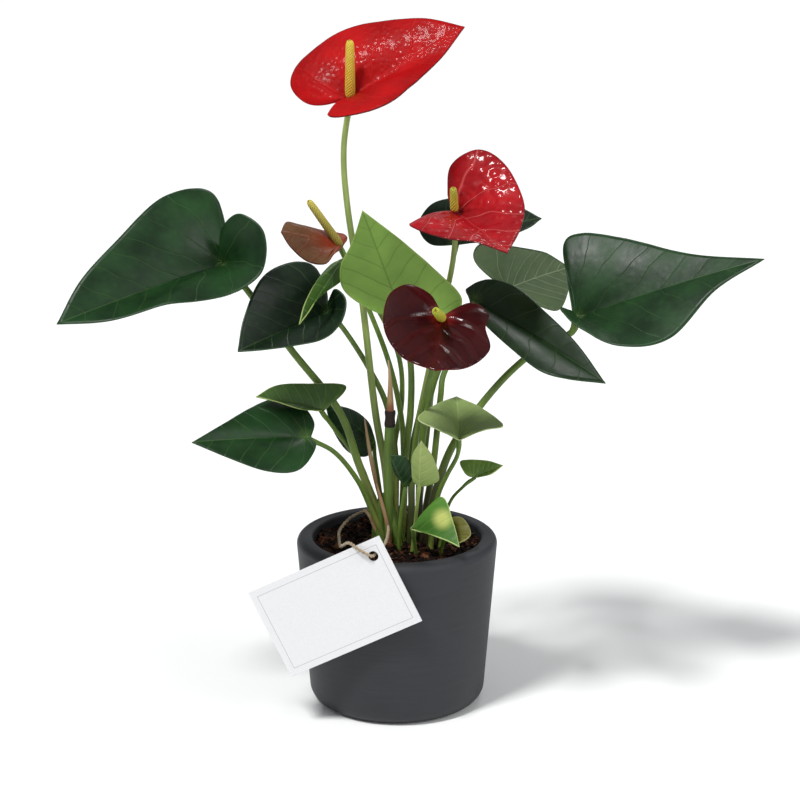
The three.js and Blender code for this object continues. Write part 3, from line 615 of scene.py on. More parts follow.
# Each leaf gives its own points, and takes the rest from these forms.
plantForm = {"veins": bladeDetail["veins"], "basalVeins": bladeDetail["basalVeins"], "stem": "stalkGreen"}
leafForm = {**plantForm, "arch": 0.02, "puff": 0.07, "quilt": 0.18, "top": "leafDark",
            "under": "leafBackDark"}
leaves = {
    "left_high": {
        "base": (-99, -15, 269), "tip": (-188, -60, 244), "notch": (-99, -13, 279),
        "right": [(-176, -46, 266), (-157, -30, 286), (-135, -12, 306), (-113, 2, 310), (-102, 5, 300),
                  (-103, -4, 285)],
        "left": [(-158, -64, 247), (-126, -64, 256), (-95, -56, 259), (-75, -48, 271), (-74, -40, 292),
                 (-88, -31, 301), (-99, -22, 291)],
        "stalk": [(-8, -7, 110), (-22, -9, 147), (-34, -9, 181), (-61, -12, 218), (-86, -14, 254)],
        "radius": 2},
    "left_mid": {
        "base": (-40, -10, 240), "tip": (-88, -62, 229), "notch": (-39.6, -10, 244),
        "right": [(-85, -52, 246), (-76, -34, 265), (-61, -14, 270), (-48, -4, 266), (-41, -5, 253)],
        "left": [(-70, -60, 230), (-44, -48, 232), (-32, -37, 239), (-29, -26, 250.5),
                 (-35.5, -18.5, 255.5)],
        "stalk": [(-1, 2, 110), (-1, 4, 150), (-6, 2, 181), (-17, 1, 205), (-31, -5, 229)], "radius": 1.6,
        "top": "leafDeepest"},
    "centre_back": {
        "base": (3, -14, 238), "tip": (-19, -44, 305),
        "right": [(-25, -32, 285), (-32, -24, 269), (-30, -18, 254), (-14, -15, 242)],
        "left": [(2, -30, 286), (25, -20, 264), (37, -17, 250), (33, -17, 241), (19, -15, 239)],
        "stalk": [(3, 4, 98), (5, 2, 150), (8, 3, 177), (8, -3, 208)],
        "radius": 1.9, "under": "leafBackPale", "top": "leafMid"},
    "left_narrow": {
        "base": (-32, -1, 268.5), "tip": (-54.3, -54, 242.5),
        "right": [(-51.8, -46, 252), (-46.9, -33, 260.3), (-42.2, -20, 265), (-37.3, -8, 268)],
        "left": [(-49.7, -47, 247.5), (-45.5, -38, 252.5), (-40.7, -27, 255), (-32.2, -12, 258.5),
                 (-27, -2, 265)],
        "stalk": [(-1, 9, 98), (-2, 14, 147), (3, 19, 181), (0, 18, 211), (-16, 8, 246)], "radius": 1.4,
        "top": "leafMid"},
    "right_mid": {
        "base": (45, -8, 246), "tip": (114, -82, 216),
        "right": [(93, -84, 219), (78, -78, 222), (63, -58, 230), (50, -36, 238), (44, -18, 241)],
        "left": [(100, -60, 233), (84, -38, 246), (68, -16, 256), (53, -4, 258), (41, 0, 252)],
        "stalk": [(13, -1, 98), (14, -2, 150), (18, -6, 182), (26, -9, 210)],
        "radius": 1.8, "top": "leafWarm", "stem": "stalkSheathed"},
    "right_high": {
        "base": (105, 5, 233), "tip": (208, -25, 274), "notch": (102.6, 3.8, 237.6),
        "right": [(180, -30, 257), (154, -42, 232), (126, -40, 227), (104, -27, 235), (94, -14, 243)],
        "left": [(169, -4, 273), (136, 16, 278), (111, 26, 280), (99, 27, 274), (100, 15, 254)],
        "stalk": [(17, -4, 98), (24, -4, 133), (35, -4, 162), (61, 4, 195), (86, 9, 216), (102, 6, 224)],
        "radius": 2, "stem": "stalkSheathed"},
    "right_back": {
        "base": (67, 60, 240), "tip": (104, 56, 254),
        "right": [(89, 48, 264), (67, 44, 269), (50, 44, 270), (47, 52, 258)],
        "left": [(105, 66, 236), (99, 74, 223), (82, 70, 229)],
        "stalk": [(15, 8, 84), (17, 9, 112), (22, 10, 144), (26, 20, 181), (29, 28, 196), (44, 44, 217)],
        "radius": 1.7, "under": "leafBackGrey", "stem": "stalkSheathed"},
    "right_dark": {
        "base": (36, 44, 273), "tip": (85, 24, 289), "notch": (37.5, 40, 270.5),
        "right": [(75, 20, 283), (58, 26, 276)],
        "left": [(70, 40, 294), (41, 55, 296), (22, 56, 293), (13, 50, 281), (20, 44, 270)],
        "stalk": [(12, 13, 84), (13, 13, 110), (19, 20, 168), (25, 31, 221), (30, 36, 244)], "radius": 1.5,
        "top": "leafDeepest"},
    "left_low": {
        "base": (-52, -42, 174), "tip": (-114, -70, 179),
        "right": [(-98, -58, 186), (-76, -34, 193), (-60, -24, 191), (-48, -30, 181)],
        "left": [(-95, -74, 172), (-73, -75, 164), (-55, -67, 162), (-46, -51, 170)],
        "stalk": [(-8, -10, 104), (-15, -12, 121), (-23, -18, 141), (-36, -31, 162)], "radius": 1.4},
    "left_folded": {
        "base": (-44, -20, 184), "tip": (-80, -42, 198),
        "right": [(-69, -32, 202), (-52, -20, 200), (-30, -6, 195)],
        "left": [(-69, -42, 195), (-55, -36, 189)],
        "stalk": [(-10, -2, 106), (-19, -3, 140), (-28, -5, 157), (-36, -9, 169)], "radius": 1.3,
        "top": "leafMid"},
    "left_inner": {
        "base": (-14, 4, 159), "tip": (-43, 8, 181),
        "right": [(-29, 14, 176), (-18, 13, 169)],
        "left": [(-38, 2, 166), (-29, 1, 153), (-18, 2, 150)],
        "stalk": [(-8, 1, 104), (-10, 5, 125), (-13, 8, 146)], "radius": 1.2},
    "right_small": {
        "base": (36, -30, 170), "tip": (35, 4, 186),
        "right": [(49, -10, 183), (61, -34, 179), (50, -37, 177)],
        "left": [(24, -12, 186), (12, -30, 182), (24, -37, 177)],
        "stalk": [(19, -13, 84), (21, -14, 110), (24, -15, 130), (29, -19, 144), (35, -25, 158)],
        # Both faces take the look whose pale colour is painted sheen.
        "radius": 1.3, "top": "leafSoft", "under": "leafSoft"},
}

for number, (name, given) in enumerate(leaves.items()):
    leaf = {**leafForm, **given}
    piece, up = bladeMesh(f"leaf_{name}_blade_dressed", leaf, number)
    dressed(piece, f"leaf_{name}_blade")
    dressed(stalkPiece(f"leaf_{name}_stalk_dressed", leaf, up), f"leaf_{name}_stalk")
print("leaves:", len(leaves))

# Young leaves stand low in the crown, each one piece with its stalk.
youngForm = {**plantForm, "arch": 0.03, "puff": 0.08, "quilt": 0.05, "top": "leafFresh",
             "under": "leafBackPale"}
youngLeaves = {
    "pale": {
        "base": (13, -30, 142), "tip": (14, -38, 171),
        "right": [(21, -36, 160), (24, -30, 145)], "left": [(9, -34, 161), (9, -30, 146)],
        "stalk": [(8, -16, 86), (11, -21, 118)], "radius": 1, "stem": "stalkPale", "top": "leafPale",
        "under": "leafPale"},
    "dark": {
        "base": (5, -24, 139), "tip": (-4, -30, 160),
        "right": [(5, -31, 159), (10, -28, 148)], "left": [(-2, -28, 150)],
        "stalk": [(1, -16, 86), (2, -20, 118)], "radius": 1, "top": "leafDark", "under": "leafBackDark"},
    "side": {
        "base": (46, -15, 142), "tip": (62, -24, 152),
        "right": [(54, -23, 146)], "left": [(52, -17, 153), (38, -8, 150), (40, -12, 144)],
        "stalk": [(23, -10, 86), (30, -11, 122), (39, -14, 136)], "radius": 0.9},
    "yellow_patch": {
        "base": (9, -28, 114), "tip": (36, -50, 111),
        "right": [(22, -45, 116)], "left": [(33, -40, 121), (27, -32, 135), (17, -28, 126)],
        "stalk": [(12, -18, 86), (11, -23, 100)],
        "radius": 1, "top": "leafPatched", "under": "leafPatched"},
    "olive": {
        "base": (29, -24, 111), "tip": (35, -40, 109),
        "right": [(30, -34, 108)], "left": [(43, -34, 113), (39, -26, 120), (32, -22, 119)],
        "stalk": [(24, -18, 84), (26, -20, 98)], "radius": 1, "top": "leafOlive", "under": "leafOlive"},
}

for number, (name, given) in enumerate(youngLeaves.items(), 20):
    leaf = {**youngForm, **given}
    blade, up = bladeMesh(f"young_leaf_{name}_blade", leaf, number)
    stalk = stalkPiece(f"young_leaf_{name}_stalk", leaf, up)
    dressed(joined([blade, stalk], f"young_leaf_{name}_dressed"), f"young_leaf_{name}")
print("young leaves:", len(youngLeaves))

# Each bloom is a spathe, a spadix and a stalk.
spatheForm = {**plantForm, "arch": 0.02, "puff": 0.1, "quilt": 0.25, "veins": 3.0, "basalVeins": 2.6}
blooms = {
    "top": {
        "base": (-26, -10, 363), "tip": (38, -5, 402),
        "right": [(24, -16, 385), (10, -34, 374), (-6, -46, 363), (-26, -43, 357), (-38, -33, 356)],
        "left": [(16, 4, 406), (-7, 12, 404), (-32, 15, 398), (-55, 10, 381), (-60, 3, 368),
                 (-49, -7, 359)],
        "spadixTip": (-26, -14, 395), "spadixRadius": 3, "top": "spatheRed", "under": "spatheBackRed",
        "stalk": [(-4, -1, 106), (-7, -1, 143), (-13, -4, 181), (-20, -8, 246), (-28, -9, 300),
                  (-30, -10, 334)],
        "radius": 1.8, "stem": "stalkPale", "slot": "red_spathe", "spadixColours": ("d8a81c", "e2cc44")},
    "right": {
        "base": (34, -12, 298), "tip": (60, -72, 286), "notch": (31.7, -10.8, 300),
        "right": [(43, -66, 291), (24, -56, 292), (7, -40, 296), (19, -24, 297)],
        "left": [(69, -44, 296), (71, -28, 308), (61, -10, 326), (46, -3, 333), (31, -2, 324),
                 (29, -7, 309)],
        "spadixRoot": (32.7, -15.6, 300.4), "spadixTip": (31.8, -20, 313.6), "spadixRadius": 2.5,
        "top": "spatheCrimson", "under": "spatheBackRed",
        "stalk": [(9, 7, 98), (9, 8, 148), (14, 4, 178), (25, -4, 234), (32, -10, 269)], "radius": 1.7,
        "stem": "stalkPale", "slot": "red_spathe", "spadixColours": ("dcb828", "a0b83a"), "quilt": 0.7},
    "bronze": {
        "base": (-34, 38, 270), "tip": (-68, 18, 282),
        "right": [(-65, 28, 286), (-55, 39, 282), (-45, 47, 278), (-31, 50, 274)],
        "left": [(-62, 12, 274), (-52, 9, 266), (-42, 12, 264), (-37, 22, 268)],
        "spadixTip": (-52, 31, 298.2), "spadixRadius": 2.7, "top": "spatheInside", "under": "spatheBronze",
        "stalk": [(4, 9, 98), (4, 9, 149), (2, 11, 175), (-5, 18, 204), (-17, 28, 234)], "radius": 1.5,
        "slot": "bronze_leaf", "spadixColours": ("7c7a2c", "d0c860")},
    "maroon": {
        "base": (25, -55, 246), "tip": (21, -94, 226),
        "right": [(3, -84, 231), (-7, -68, 243), (-5, -54, 258), (6, -48, 264), (19, -49, 258)],
        "left": [(39, -86, 226), (51, -71, 232), (49, -60, 242), (51, -51, 248), (41, -47, 253)],
        "spadixTip": (21, -80, 256), "spadixRadius": 2.8, "top": "spatheMaroon", "under": "spatheBackMaroon",
        "stalk": [(7, -10, 84), (8, -10, 112), (11, -13, 164), (20, -34, 212), (24, -46, 232)],
        "radius": 1.5, "stem": "stalkSheathed", "slot": "maroon_spathe",
        "spadixColours": ("c9b42c", "9db82c"), "quilt": 0.6},
}

# A spadix stands on its bloom's base or its own root. Its colours are the root's and the tip's, with painted
# shade in the creases, darker where the florets' surface lies low between them.
spadixDetail = {"raise": 0.6, "taper": 0.25, "floretSize": 1.45, "floretSpacing": 1.2, "floretSink": 0.3,
                "floretHeight": 0.75, "goldenAngle": 137.508, "endSharpness": 12.0, "endReach": 0.51,
                "tipTurn": 8.0, "capRise": 2.2, "rodBottom": 0.9, "rodTop": 0.6, "rodLength": 0.985,
                "patches": (300.0, 2.0), "pale": "ecd878", "paleShow": 0.3, "creaseShade": "94741c",
                "creaseShadeShow": 0.65, "creaseDepth": 1.7, "roughness": 0.5, "specular": 0.3}


def spadixMaterial(name, root, tip):
    material, tree, shader = newMaterial(name, Roughness=spadixDetail["roughness"],
                                         Specular_IOR_Level=spadixDetail["specular"])
    patches = patchesOf(tree, objectPlace(tree), *spadixDetail["patches"])
    colour = mixColour(tree, attribute(tree, "along"), root, tip)
    colour = tinted(tree, colour, patches, spadixDetail["paleShow"], spadixDetail["pale"])
    # Painted shade: the colour darkens where a floret's stored height is low, in the creases between
    # florets.
    depth = spadixDetail["creaseDepth"]
    creaseShade = calc(tree, "MULTIPLY_ADD", attribute(tree, "height"), -depth, depth, clamp=True)
    colour = tinted(tree, colour, creaseShade, spadixDetail["creaseShadeShow"], spadixDetail["creaseShade"])
    tree.links.new(colour, shader.inputs["Base Color"])
    return material


def buildSpadixTree():  # florets on a spiral lattice round a tapered rod along +Z, in metres
    tree, given, out = newTree("spadixFlorets", [
        ("Length", "Float", 0.03), ("Radius", "Float", 0.003), ("Taper", "Float", 0.25),
        ("Florets", "Int", 400), ("Floret Size", "Float", 0.001), ("Golden Angle", "Float", 137.508)])
    index = addNode(tree, "GeometryNodeInputIndex").outputs[0]
    t = calc(tree, "DIVIDE", calc(tree, "ADD", index, 0.5), given["Florets"])
    shrink = calc(tree, "SUBTRACT", 1.0, calc(tree, "MULTIPLY", given["Taper"], t))
    fromMiddle = calc(tree, "DIVIDE", calc(tree, "SUBTRACT", t, 0.5), spadixDetail["endReach"])
    bulge = calc(tree, "POWER", calc(tree, "ABSOLUTE", fromMiddle), spadixDetail["endSharpness"])
    endRound = calc(tree, "SQRT", calc(tree, "MAXIMUM", calc(tree, "SUBTRACT", 1.0, bulge), 0.0))
    radius = calc(tree, "MULTIPLY", calc(tree, "MULTIPLY", given["Radius"], shrink), endRound)
    angle = calc(tree, "MULTIPLY", index, calc(tree, "RADIANS", given["Golden Angle"]))
    outward = vectorOf(tree, X=calc(tree, "COSINE", angle), Y=calc(tree, "SINE", angle))
    sideways = addNode(tree, "ShaderNodeVectorMath", {"Vector": outward, "Scale": radius},
                       operation="SCALE").outputs[0]
    lifted = vectorOf(tree, Z=calc(tree, "MULTIPLY", t, given["Length"]))
    points = addNode(tree, "GeometryNodePoints", {
        "Count": given["Florets"], "Position": vectorCalc(tree, "ADD", sideways, lifted)})
    tipShare = calc(tree, "POWER", calc(tree, "MAXIMUM", fromMiddle, 0.0), spadixDetail["tipTurn"])
    facing = addNode(tree, "FunctionNodeAlignRotationToVector", {
        "Vector": vectorCalc(tree, "ADD", outward, vectorOf(tree, Z=tipShare))}, axis="Z")
    bump = addNode(tree, "GeometryNodeMeshIcoSphere", {"Radius": 0.5, "Subdivisions": 2})
    bumpHeight = partsOf(tree, addNode(tree, "GeometryNodeInputPosition").outputs[0])["Z"]
    risen = calc(tree, "MULTIPLY_ADD", bumpHeight, spadixDetail["capRise"], 0.0, clamp=True)
    capped = stored(tree, bump.outputs[0], "height", risen)
    size = given["Floret Size"]
    flattened = calc(tree, "MULTIPLY", size, spadixDetail["floretHeight"])
    florets = addNode(tree, "GeometryNodeInstanceOnPoints", {
        "Points": points.outputs[0], "Instance": capped, "Rotation": facing.outputs[0],
        "Scale": vectorOf(tree, X=size, Y=size, Z=flattened)})
    rod = addNode(tree, "GeometryNodeMeshCone", {
        "Vertices": 20, "Side Segments": 6,
        "Radius Bottom": calc(tree, "MULTIPLY", given["Radius"], spadixDetail["rodBottom"]),
        "Radius Top": calc(tree, "MULTIPLY", given["Radius"], spadixDetail["rodTop"]),
        "Depth": calc(tree, "MULTIPLY", given["Length"], spadixDetail["rodLength"])}, fill_type="NGON")
    both = addNode(tree, "GeometryNodeJoinGeometry")
    tree.links.new(rod.outputs["Mesh"], both.inputs[0])
    tree.links.new(realized(tree, stored(tree, florets.outputs[0], "along", t, "INSTANCE")), both.inputs[0])
    return finishTree(tree, smoothed(tree, both.outputs[0]), given, out)


spadixTree = buildSpadixTree()


def spadixPiece(name, bloom, up):
    root = Vector(bloom.get("spadixRoot", Vector(bloom["base"]) + up * spadixDetail["raise"]))
    axis = Vector(bloom["spadixTip"]) - root
    radius, size = bloom["spadixRadius"], spadixDetail["floretSize"]
    skin = 2 * math.pi * radius * (1 - spadixDetail["taper"] / 2) * axis.length
    surface = spadixMaterial(name.replace("_dressed", "_florets"), *bloom["spadixColours"])
    piece = runTree(linked(name, bpy.data.meshes.new(name)), spadixTree, {
        "Length": axis.length * mm, "Radius": (radius - size * spadixDetail["floretSink"]) * mm,
        "Taper": spadixDetail["taper"], "Florets": int(skin / spadixDetail["floretSpacing"] ** 2),
        "Floret Size": size * mm, "Golden Angle": spadixDetail["goldenAngle"], "Surface": surface})
    turn = axis.to_track_quat("Z", "Y").to_matrix().to_4x4()
    piece.data.transform(Matrix.Translation(root * mm) @ turn)
    return piece


for number, (name, given) in enumerate(blooms.items(), 40):
    bloom = {**spatheForm, **given}
    piece, up = bladeMesh(f"bloom_{name}_spathe_dressed", bloom, number)
    dressed(piece, f"bloom_{name}_spathe")
    dressed(spadixPiece(f"bloom_{name}_spadix_dressed", bloom, up), f"bloom_{name}_spadix")
    dressed(stalkPiece(f"bloom_{name}_stalk_dressed", bloom, up), f"bloom_{name}_stalk")
print("blooms:", len(blooms))

# Each crown is a bundle of swollen stalk bases round a heart. Husks are the dry remains of old sheaths.
crowns = {
    "green": {"from": (-3, -2, 84), "to": (-8, -5, 128), "radius": 11, "top": 5.5, "bases": 6,
              "baseRadius": 3.6, "stem": "stalkGreen", "seed": 3, "huskRadius": 1.3,
              "husks": [[(-9, -6, 122), (-13, -8, 140), (-16, -9, 156), (-19, -8, 176)],
                        [(-4, -13, 100), (-5.5, -13.5, 112), (-8.5, -13, 124), (-12, -11, 137)],
                        [(-9, -9, 101), (-13, -7, 108), (-16, -3, 114), (-20, 2, 117)]]},
    "brown": {"from": (15, -2, 84), "to": (20, -4, 118), "radius": 7.5, "top": 3, "bases": 5,
              "baseRadius": 2.8, "stem": "stalkDark", "seed": 5},
    "back": {"from": (6, 9, 84), "to": (7, 8, 112), "radius": 7.5, "top": 4, "bases": 4, "baseRadius": 3.2,
             "stem": "stalkGreen", "seed": 8},
}
baseForm = {"perSpan": 10, "jitter": 0.2, "inset": 0.8, "headInset": 1.5, "headDrop": 8, "bow": 0.6,
            "swell": 1.15, "taper": 0.55, "tipSharpness": 8, "tipWidth": 0.05, "heartRise": 1,
            "heartTip": 1.5, "huskPerSpan": 12, "huskFrom": 0.5, "huskTo": math.pi - 0.05}

for name, crown in crowns.items():
    dice = random.Random(crown["seed"])
    low, high = np.array(crown["from"], float), np.array(crown["to"], float)
    parts = []
    for k in range(crown["bases"]):
        angle = 2 * math.pi * (k + dice.uniform(-baseForm["jitter"], baseForm["jitter"])) / crown["bases"]
        outward = np.array([math.cos(angle), math.sin(angle), 0])
        foot = low + outward * (crown["radius"] - crown["baseRadius"] * baseForm["inset"])
        drop = (0, 0, dice.uniform(0, baseForm["headDrop"]))
        head = high + outward * (crown["top"] - baseForm["headInset"]) - drop
        waist = (foot + head) / 2 + outward * baseForm["bow"]
        line = throughPoints([foot, waist, head], baseForm["perSpan"])
        t = np.linspace(0, 1, len(line))
        closing = np.sqrt(np.maximum(1 - t ** baseForm["tipSharpness"], baseForm["tipWidth"]))
        radii = crown["baseRadius"] * (baseForm["swell"] - baseForm["taper"] * t) * closing
        parts.append(tubePiece(f"crown_{name}_{k}", line, radii, crown["stem"]))
    heart = throughPoints([low, (low + high) / 2, high + (0, 0, baseForm["heartRise"])],
                          baseForm["perSpan"])
    radii = np.linspace(crown["radius"] - crown["baseRadius"], baseForm["heartTip"], len(heart))
    parts.append(tubePiece(f"crown_{name}_heart", heart, radii, crown["stem"]))
    for k, route in enumerate(crown.get("husks", [])):
        line = throughPoints(route, baseForm["huskPerSpan"])
        turn = np.linspace(baseForm["huskFrom"], baseForm["huskTo"], len(line))
        radii = crown["huskRadius"] * np.sqrt(np.sin(turn))
        parts.append(tubePiece(f"crown_{name}_husk_{k}", line, radii, "husk"))
    dressed(joined(parts, f"crown_{name}_dressed"), f"crown_{name}")

# The shoot's collar and sheath are placed by their share of its length.
shoot = {"line": [(-5, -9, 90), (-5, -9, 104), (-5, -10, 131), (-5, -10, 153), (-4, -10, 178),
                  (-4, -9, 199), (-5, -8, 211)],
         "points": 90, "stemRadius": 2.85, "collarFrom": 0.68, "collarLength": 0.075, "collarRadius": 3.1,
         "collarWave": 0.06, "collarWaves": 9, "overlap": 0.01, "sheathFrom": 0.6, "sheathRadius": 2.5,
         "pointRadius": 0.4}

shootLine = evenly(throughPoints(shoot["line"], stalkDetail["perSpan"]), shoot["points"])
along = np.linspace(0, 1, shoot["points"])
collarFrom, collarTo = shoot["collarFrom"], shoot["collarFrom"] + shoot["collarLength"]
stem = along <= collarFrom
sheath = along >= collarFrom + shoot["collarLength"] * shoot["sheathFrom"]
collar = (along >= collarFrom - shoot["overlap"]) & (along <= collarTo)
sheathShare = (along[sheath] - along[sheath][0]) / (1 - along[sheath][0])
wave = 1 + shoot["collarWave"] * np.sin(np.linspace(0, shoot["collarWaves"], collar.sum()))
narrowing = (shoot["pointRadius"] - shoot["sheathRadius"]) * sheathShare
dressed(joined([
    tubePiece("shoot_stem", shootLine[stem], np.full(stem.sum(), shoot["stemRadius"]), "stalkGreen"),
    tubePiece("shoot_collar", shootLine[collar], shoot["collarRadius"] * wave, "collarBrown"),
    tubePiece("shoot_sheath", shootLine[sheath], shoot["sheathRadius"] + narrowing, "husk"),
], "young_shoot_dressed"), "young_shoot")
print("crowns and shoot done")

# The lean is the wall's, in degrees. Steps are the straight bits of each round of the profile.
pot = {"height": 102, "footRadius": 53, "rimRadius": 60, "innerRimRadius": 50.5, "innerFloorRadius": 44,
       "floorHeight": 9, "footRound": 9, "footFlat": 6, "rimRound": 4.5, "lipRound": 2, "lean": 4,
       "steps": 12, "lipSteps": 6, "sides": 160, "clouds": (22.0, 1.6, 5.0), "deep": "1e1f22",
       "ground": "2a2b2f", "streaks": (700.0, 1.6), "streakStretch": (0.06, 0.06, 1), "streak": "3a3b40",
       "streakShow": 0.25, "streakRelief": 0.04, "pits": (1500.0, 2.0), "pitRelief": 0.03,
       "roughness": 0.5, "dullness": 0.15}


def innerRadius(z):
    share = (z - pot["floorHeight"]) / (pot["height"] - pot["floorHeight"])
    return pot["innerFloorRadius"] + share * (pot["innerRimRadius"] - pot["innerFloorRadius"])


def arc(x, z, radius, start, end, steps):
    angles = np.radians(np.linspace(start, end, steps + 1))
    return [(x + radius * math.cos(a), z + radius * math.sin(a)) for a in angles]


def circle(radius, sides):
    return [(radius * math.cos(a), radius * math.sin(a)) for a in circleAngles(sides)]


def potMaterial():
    material, tree, shader = newMaterial("charcoalPot", Specular_IOR_Level=0.4)
    place = objectPlace(tree)
    clouds, pits = (patchesOf(tree, place, *pot[grain]) for grain in ("clouds", "pits"))
    streaks = patchesOf(tree, stretched(tree, place, pot["streakStretch"]), *pot["streaks"])
    colour = mixColour(tree, clouds, pot["deep"], pot["ground"])
    colour = tinted(tree, colour, streaks, pot["streakShow"], pot["streak"])
    tree.links.new(colour, shader.inputs["Base Color"])
    gloss = calc(tree, "MULTIPLY_ADD", clouds, pot["dullness"], pot["roughness"])
    tree.links.new(gloss, shader.inputs["Roughness"])
    height = calc(tree, "MULTIPLY", streaks, pot["streakRelief"])
    bumped(tree, shader, calc(tree, "MULTIPLY_ADD", pits, pot["pitRelief"], height))
    return material


def potPiece():  # its wall's profile, from the foot's middle over the rim to the inner floor, spun round Z
    foot, rim, lip, lean = pot["footRound"], pot["rimRound"], pot["lipRound"], pot["lean"]
    lipHeight = pot["height"] - lip
    profile = [(pot["footRadius"] - foot - pot["footFlat"], 0),
               *arc(pot["footRadius"] - foot, foot, foot, -90, -lean, pot["steps"]),
               *arc(pot["rimRadius"] - rim, pot["height"] - rim, rim, -lean, 90, pot["steps"]),
               *arc(innerRadius(lipHeight) + lip, lipHeight, lip, 90, 180, pot["lipSteps"]),
               (pot["innerFloorRadius"], pot["floorHeight"])]
    rows = [[(x, y, z) for x, y in circle(radius, pot["sides"])] for radius, z in profile]
    return domedMesh("pot_dressed", rows, (0, 0, 0), (0, 0, pot["floorHeight"]), [potMaterial()])


dressed(potPiece(), "pot")
print("pot done")

# A chip's or a fibre's form gives its most tilt, its least and most scale, and its range of tones.
soil = {"height": 96, "bottom": 84, "gap": 0.3, "rings": 40, "sides": 120, "mound": 3, "moundSpread": 500,
        "lumps": ((0.9, 0.31, 0.17, 0), (0.7, -0.41, 0.23, 2), (0.5, 0.83, 1.1, 0)),
        "crumb": 0.9, "crumbScale": 0.35, "crumbNoise": (0.8, 2.2, 4), "seed": 11,
        "chips": 1300, "chipSize": 3.2, "fibres": 600, "fibreLength": 7.0, "fibreBend": (0, 0.35, 0.2),
        "fibreThickness": 0.028, "darkest": "0a0504",
        "tones": {0.5: "1c0f09", 0.8: "4a2818", 0.95: "8a5c38", 1.0: "c0a478"}, "bareTone": 0.2,
        "crumbs": (420.0, 2.4, 6.0), "crumbTint": "120a06", "crumbShow": 0.5, "crumbRelief": 0.5}
chipForm = {"tilt": 0.8, "least": (0.35, 0.25, 0.12), "most": (1.3, 0.7, 0.4), "tones": (0.0, 0.9),
            "salt": 5}
fibreForm = {"tilt": 0.5, "least": (0.3, 0.3, 0.3), "most": (1.2, 1.0, 1.0), "tones": (0.45, 1.0),
             "salt": 25}


def soilTop(x, y):  # the uneven height of the soil at a place
    mound = soil["mound"] * math.exp(-(x * x + y * y) / soil["moundSpread"])
    lumps = [high * math.sin(acrossX * x + acrossY * y + shift)
             for high, acrossX, acrossY, shift in soil["lumps"]]
    return soil["height"] + mound + sum(lumps)


def soilMaterial():
    material, tree, shader = newMaterial("barkSoil", Roughness=0.85, Specular_IOR_Level=0.12)
    crumbs = patchesOf(tree, objectPlace(tree), *soil["crumbs"])
    ramp = addNode(tree, "ShaderNodeValToRGB", {"Fac": attribute(tree, "tone")})
    stops = ramp.color_ramp.elements
    stops.remove(stops[1])
    stops[0].color = rgb(soil["darkest"])
    for at, code in soil["tones"].items():
        stops.new(at).color = rgb(code)
    colour = tinted(tree, ramp.outputs["Color"], crumbs, soil["crumbShow"], soil["crumbTint"])
    tree.links.new(colour, shader.inputs["Base Color"])
    bumped(tree, shader, calc(tree, "MULTIPLY", crumbs, soil["crumbRelief"]))
    return material


def buildSoilTree():  # bark chips and coir fibres, strewn over a soil surface, in metres
    tree, given, out = newTree("soilLitter", [
        ("Chips", "Float", 1000.0), ("Chip Size", "Float", 0.002), ("Fibres", "Float", 1000.0),
        ("Fibre Length", "Float", 0.006), ("Seed", "Int", 0)])
    upwards = partsOf(tree, addNode(tree, "GeometryNodeInputNormal").outputs[0])["Z"]
    onTop = addNode(tree, "FunctionNodeCompare", {"A": upwards, "B": 0.5},
                    operation="GREATER_THAN").outputs[0]
    layers = addNode(tree, "GeometryNodeJoinGeometry")

    def strew(shape, density, form):
        tilt, salt = form["tilt"], form["salt"]
        scatter = addNode(tree, "GeometryNodeDistributePointsOnFaces", {
            "Mesh": given["Geometry"], "Selection": onTop, "Density": density,
            "Seed": calc(tree, "ADD", given["Seed"], salt)})
        turn = addNode(tree, "FunctionNodeRandomValue", {
            "Min": (-tilt, -tilt, 0), "Max": (tilt, tilt, 2 * math.pi), "Seed": salt + 1},
            data_type="FLOAT_VECTOR")
        size = addNode(tree, "FunctionNodeRandomValue", {
            "Min": form["least"], "Max": form["most"], "Seed": salt + 2}, data_type="FLOAT_VECTOR")
        placed = addNode(tree, "GeometryNodeInstanceOnPoints", {
            "Points": scatter.outputs["Points"], "Instance": shape, "Rotation": turn.outputs["Value"],
            "Scale": size.outputs["Value"]})
        shade = addNode(tree, "FunctionNodeRandomValue", {
            2: form["tones"][0], 3: form["tones"][1], "Seed": salt + 3}, data_type="FLOAT")
        marked = stored(tree, placed.outputs[0], "tone", shade.outputs[1], "INSTANCE")
        tree.links.new(realized(tree, marked), layers.inputs[0])

    chip = addNode(tree, "GeometryNodeMeshIcoSphere", {"Radius": given["Chip Size"], "Subdivisions": 1})
    strew(chip.outputs[0], given["Chips"], chipForm)
    bent = addNode(tree, "GeometryNodeCurveQuadraticBezier", {
        "Resolution": 5, "Start": (-0.5, 0, 0), "Middle": soil["fibreBend"], "End": (0.5, 0, 0)})
    strand = addNode(tree, "GeometryNodeCurvePrimitiveCircle", {
        "Resolution": 3, "Radius": soil["fibreThickness"]})
    fibre = addNode(tree, "GeometryNodeCurveToMesh", {
        "Curve": bent.outputs[0], "Profile Curve": strand.outputs[0], "Fill Caps": True})
    length = given["Fibre Length"]
    scaled = addNode(tree, "GeometryNodeTransform", {
        "Geometry": fibre.outputs[0], "Scale": vectorOf(tree, X=length, Y=length, Z=length)})
    strew(scaled.outputs[0], given["Fibres"], fibreForm)
    tree.links.new(stored(tree, given["Geometry"], "tone", soil["bareTone"]), layers.inputs[0])
    return finishTree(tree, layers.outputs[0], given, out)


def soilSurface():
    sides, rings, bottom = soil["sides"], soil["rings"], soil["bottom"]
    reach = innerRadius(soil["height"]) - soil["gap"]
    rows = [[(x, y, bottom) for x, y in circle(innerRadius(bottom) - soil["gap"], sides)]]
    for ring in range(rings, 0, -1):
        row = []
        for x, y in circle(reach * ring / rings, sides):
            crumble = noise.fractal(Vector((x, y, 0)) * soil["crumbScale"], *soil["crumbNoise"])
            row.append((x, y, soilTop(x, y) + crumble * soil["crumb"]))
        rows.append(row)
    return domedMesh("soil_dressed", rows, (0, 0, bottom), (0, 0, soilTop(0, 0)), [])


